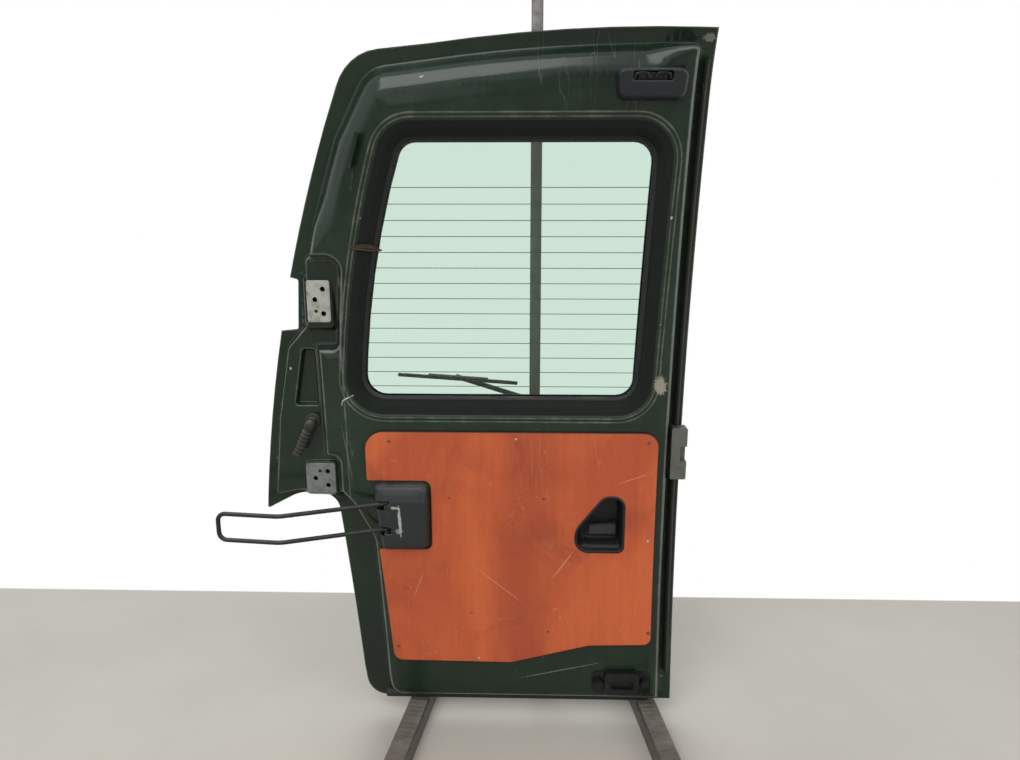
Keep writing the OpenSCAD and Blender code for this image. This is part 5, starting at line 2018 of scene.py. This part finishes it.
@dataclass
class Stand:
    """The workshop stand: mast, feet and ribbed treads."""
    mast_x: float = -267
    mast_w: float = 20
    mast_y: float = 44
    mast_top: float = 1290
    floor: float = -36
    foot_w: float = 40
    foot_h: float = 32
    foot_x: float = 215
    splay: float = 7
    front: float = 330
    back: float = 250
    bar: float = 4
    tread: float = 4
    rib_step: float = 12
    rib_w: float = 6
    rib_h: float = 1.5

    def mast(self) -> None:
        """Builds the mast as an open square tube."""
        low, half = self.floor + self.foot_h + self.bar, self.mast_w / 2
        middle = np.array([self.mast_x, self.mast_y + half])
        outer = rounded([(-half, -half, 2.5), (half, -half, 2.5), (half, half, 2.5), (-half, half, 2.5)], 4)
        rings = []
        for z, grow in ((low, 1.0), (self.mast_top - 0.6, 1.0), (self.mast_top, 0.96), (self.mast_top, 0.82),
                        (self.mast_top - 60, 0.8)):
            flat = middle + outer * grow
            rings.append(np.column_stack([flat, np.full(len(flat), z)]))
        points, faces = loft(rings)
        add_piece("square_mast", plain_mesh("square_mast", points, faces), WORN, ROOT, ["stand_mast"])

    def place(self, points: np.ndarray, side: int) -> np.ndarray:
        """Takes points of a foot's own frame to the door's frame.

        Args:
            points: Points of the foot's own frame.
            side: -1 for the left foot, 1 for the right.

        Returns:
            The points of the door's frame.
        """
        angle = math.radians(side * self.splay)
        x = points[:, 0] * math.cos(angle) - points[:, 1] * math.sin(angle)
        y = points[:, 0] * math.sin(angle) + points[:, 1] * math.cos(angle)
        return np.column_stack([x + self.mast_x + side * self.foot_x, y, points[:, 2] + self.floor])

    def foot(self, side: int, name: str) -> None:
        """Builds a foot as a rounded tube with plugs in its ends.

        Args:
            side: -1 for the left foot, 1 for the right.
            name: The CAD node that it stands for.
        """
        w, h = self.foot_w / 2, self.foot_h
        outer = rounded([(-w, 0, 3.5), (w, 0, 3.5), (w, h, 3.5), (-w, h, 3.5)], 5)
        middle = np.array([0, h / 2])
        rings = []
        plug = ((0, 0.86), (0.4, 0.9), (0.4, 0.98), (1.2, 1.0))
        ends = [(d - self.front, grow) for d, grow in plug]
        ends += [(self.back - d, grow) for d, grow in plug[::-1]]
        for y, grow in ends:
            flat = middle + (outer - middle) * grow
            rings.append(np.column_stack([flat[:, 0], np.full(len(flat), y), flat[:, 1]]))
        points, faces = loft(rings)
        piece = f"{name}_tube"
        add_piece(piece, plain_mesh(piece, self.place(points, side), faces), WORN, ROOT, [name])

    def tread_strip(self, side: int, name: str) -> None:
        """Builds a ribbed rubber tread with a smooth rim on each side.

        Args:
            side: -1 for the left foot, 1 for the right.
            name: The CAD node that it stands for.
        """
        length = self.front + 26
        base, full = self.tread - self.rib_h, self.tread
        profile = [(0.0, 0.0)]
        for k in range(int((length - self.rib_w) / self.rib_step) + 1):
            y = k * self.rib_step
            profile += [(y, base), (y + 0.8, full - 0.3), (y + 1.4, full), (y + self.rib_w - 1.4, full),
                        (y + self.rib_w - 0.8, full - 0.3), (y + self.rib_w, base)]
        profile += [(length, base), (length, 0)]
        section = np.array(profile)
        w = self.foot_w / 2 - 3
        rings = []
        for x, low in ((-w, 0.9), (-w + 1, 0.4), (-w + 3, 0.0), (w - 3, 0.0), (w - 1, 0.4), (w, 0.9)):
            z = np.minimum(section[:, 1], np.maximum(full - low, 0))
            y = section[:, 0] - self.front + 4
            rings.append(np.column_stack([np.full(len(section), x), y, z + self.foot_h]))
        points, faces = loft(rings)
        piece = f"{name}_ribs"
        mesh = plain_mesh(piece, self.place(points, side), faces, math.radians(25))
        add_piece(piece, mesh, TREAD, ROOT, [name])

    def build(self) -> None:
        """Builds the stand's pieces."""
        self.mast()
        for side, word in ((-1, "left"), (1, "right")):
            self.foot(side, f"foot_{word}")
            self.tread_strip(side, f"foot_tread_{word}")


@dataclass
class Studio:
    """The plain floor, the pale background, the lamps and the camera."""
    lens: float = 27.04
    camera_at: Rgb = (0.1322, -1.3115, 0.976)
    tilt: float = 77.0
    yaw: float = 1.5
    floor_half: float = 40.0
    floor_colour: Rgb = (0.60, 0.565, 0.50)
    floor_end: float = 0.47
    sky: float = 0.5
    sky_colour: Rgb = (0.93, 0.97, 1.0)

    def build(self) -> None:
        """Builds the stage."""
        scene = bpy.context.scene
        scene.view_settings.view_transform = "Standard"
        camera = bpy.data.cameras.new("camera")
        camera.lens = self.lens
        camera.sensor_width = 36
        view = bpy.data.objects.new("camera", camera)
        view.location = self.camera_at
        view.rotation_euler = (math.radians(self.tilt), 0, math.radians(self.yaw))
        scene.collection.objects.link(view)
        scene.camera = view
        self.floor()
        self.world()
        self.lamp("key", (-0.9, -2.2, 3.0), (0.1, 0, 0.6), 2.2, 52)
        self.lamp("fill", (2.4, -1.8, 1.6), (0.1, 0, 0.6), 1.8, 18)
        self.lamp("back", (-0.6, 2.6, 2.4), (0.1, 0, 0.6), 2.0, 30)

    def floor(self) -> None:
        """Lays the floor, which turns into the white background behind the object."""
        h = self.floor_half
        mesh = bpy.data.meshes.new("floor")
        mesh.from_pydata([(-h, -h, 0), (h, -h, 0), (h, h, 0), (-h, h, 0)], [], [(0, 1, 2, 3)])
        floor = bpy.data.objects.new("floor", mesh)
        bpy.context.scene.collection.objects.link(floor)
        s = Shader("floor")
        darker = tuple(c * 0.86 for c in self.floor_colour)
        colour = s.mix(s.noise(2.2, 5.0, 0.6).step(0.35, 0.7) * 0.5, self.floor_colour, darker)
        plain = s.node("BsdfPrincipled", {}, {
            "Base Color": colour, "Roughness": 0.8, "Normal": s.bump(s.noise(90.0), 0.05, 0.001)})
        white = s.node("Emission", {}, {"Color": (1, 1, 1, 1), "Strength": 1.0})
        beyond = (s.axis(1) - self.floor_end).step(0.0, 0.006)
        both = s.node("MixShader", {}, {0: beyond * s.background_rays(), 1: plain, 2: white})
        s.node("OutputMaterial", {}, {"Surface": both})
        mesh.materials.append(s.owner)

    def world(self) -> None:
        """Lights the room evenly, and shows white behind the object."""
        world = bpy.data.worlds.new("room")
        bpy.context.scene.world = world
        s = Shader("room", world)
        plain = s.node("Background", {}, {"Color": (*self.sky_colour, 1.0), "Strength": self.sky})
        white = s.node("Background", {}, {"Color": (1, 1, 1, 1), "Strength": 1.0})
        both = s.node("MixShader", {}, {0: s.background_rays(), 1: plain, 2: white})
        s.node("OutputWorld", {}, {"Surface": both})

    def lamp(self, name: str, at: Rgb, aim: Rgb, size: float, power: float) -> None:
        """Hangs a square lamp that looks at a point.

        Args:
            name: The lamp's name.
            at: Its place.
            aim: The point.
            size: Its width, in metres.
            power: Its power, in watts.
        """
        lamp = bpy.data.lights.new(name, "AREA")
        lamp.size = size
        lamp.energy = power
        holder = bpy.data.objects.new(name, lamp)
        holder.location = at
        holder.rotation_euler = (Vector(aim) - Vector(at)).to_track_quat("-Z", "Y").to_euler()
        bpy.context.scene.collection.objects.link(holder)


def main() -> None:
    """Builds the scene."""
    logging.basicConfig(level=logging.INFO, format="%(name)s %(message)s")
    dress_nodes()
    InnerPressing().build()
    UPPER_HINGE.build()
    LOWER_HINGE.build()
    Window().build()
    TrimBoard().build()
    DoorCheck().build()
    InnerHandle().build()
    Latches().build()
    Seals().build()
    LoomBoot().build()
    Stand().build()
    Studio().build()


if __name__ == "__main__":
    main()
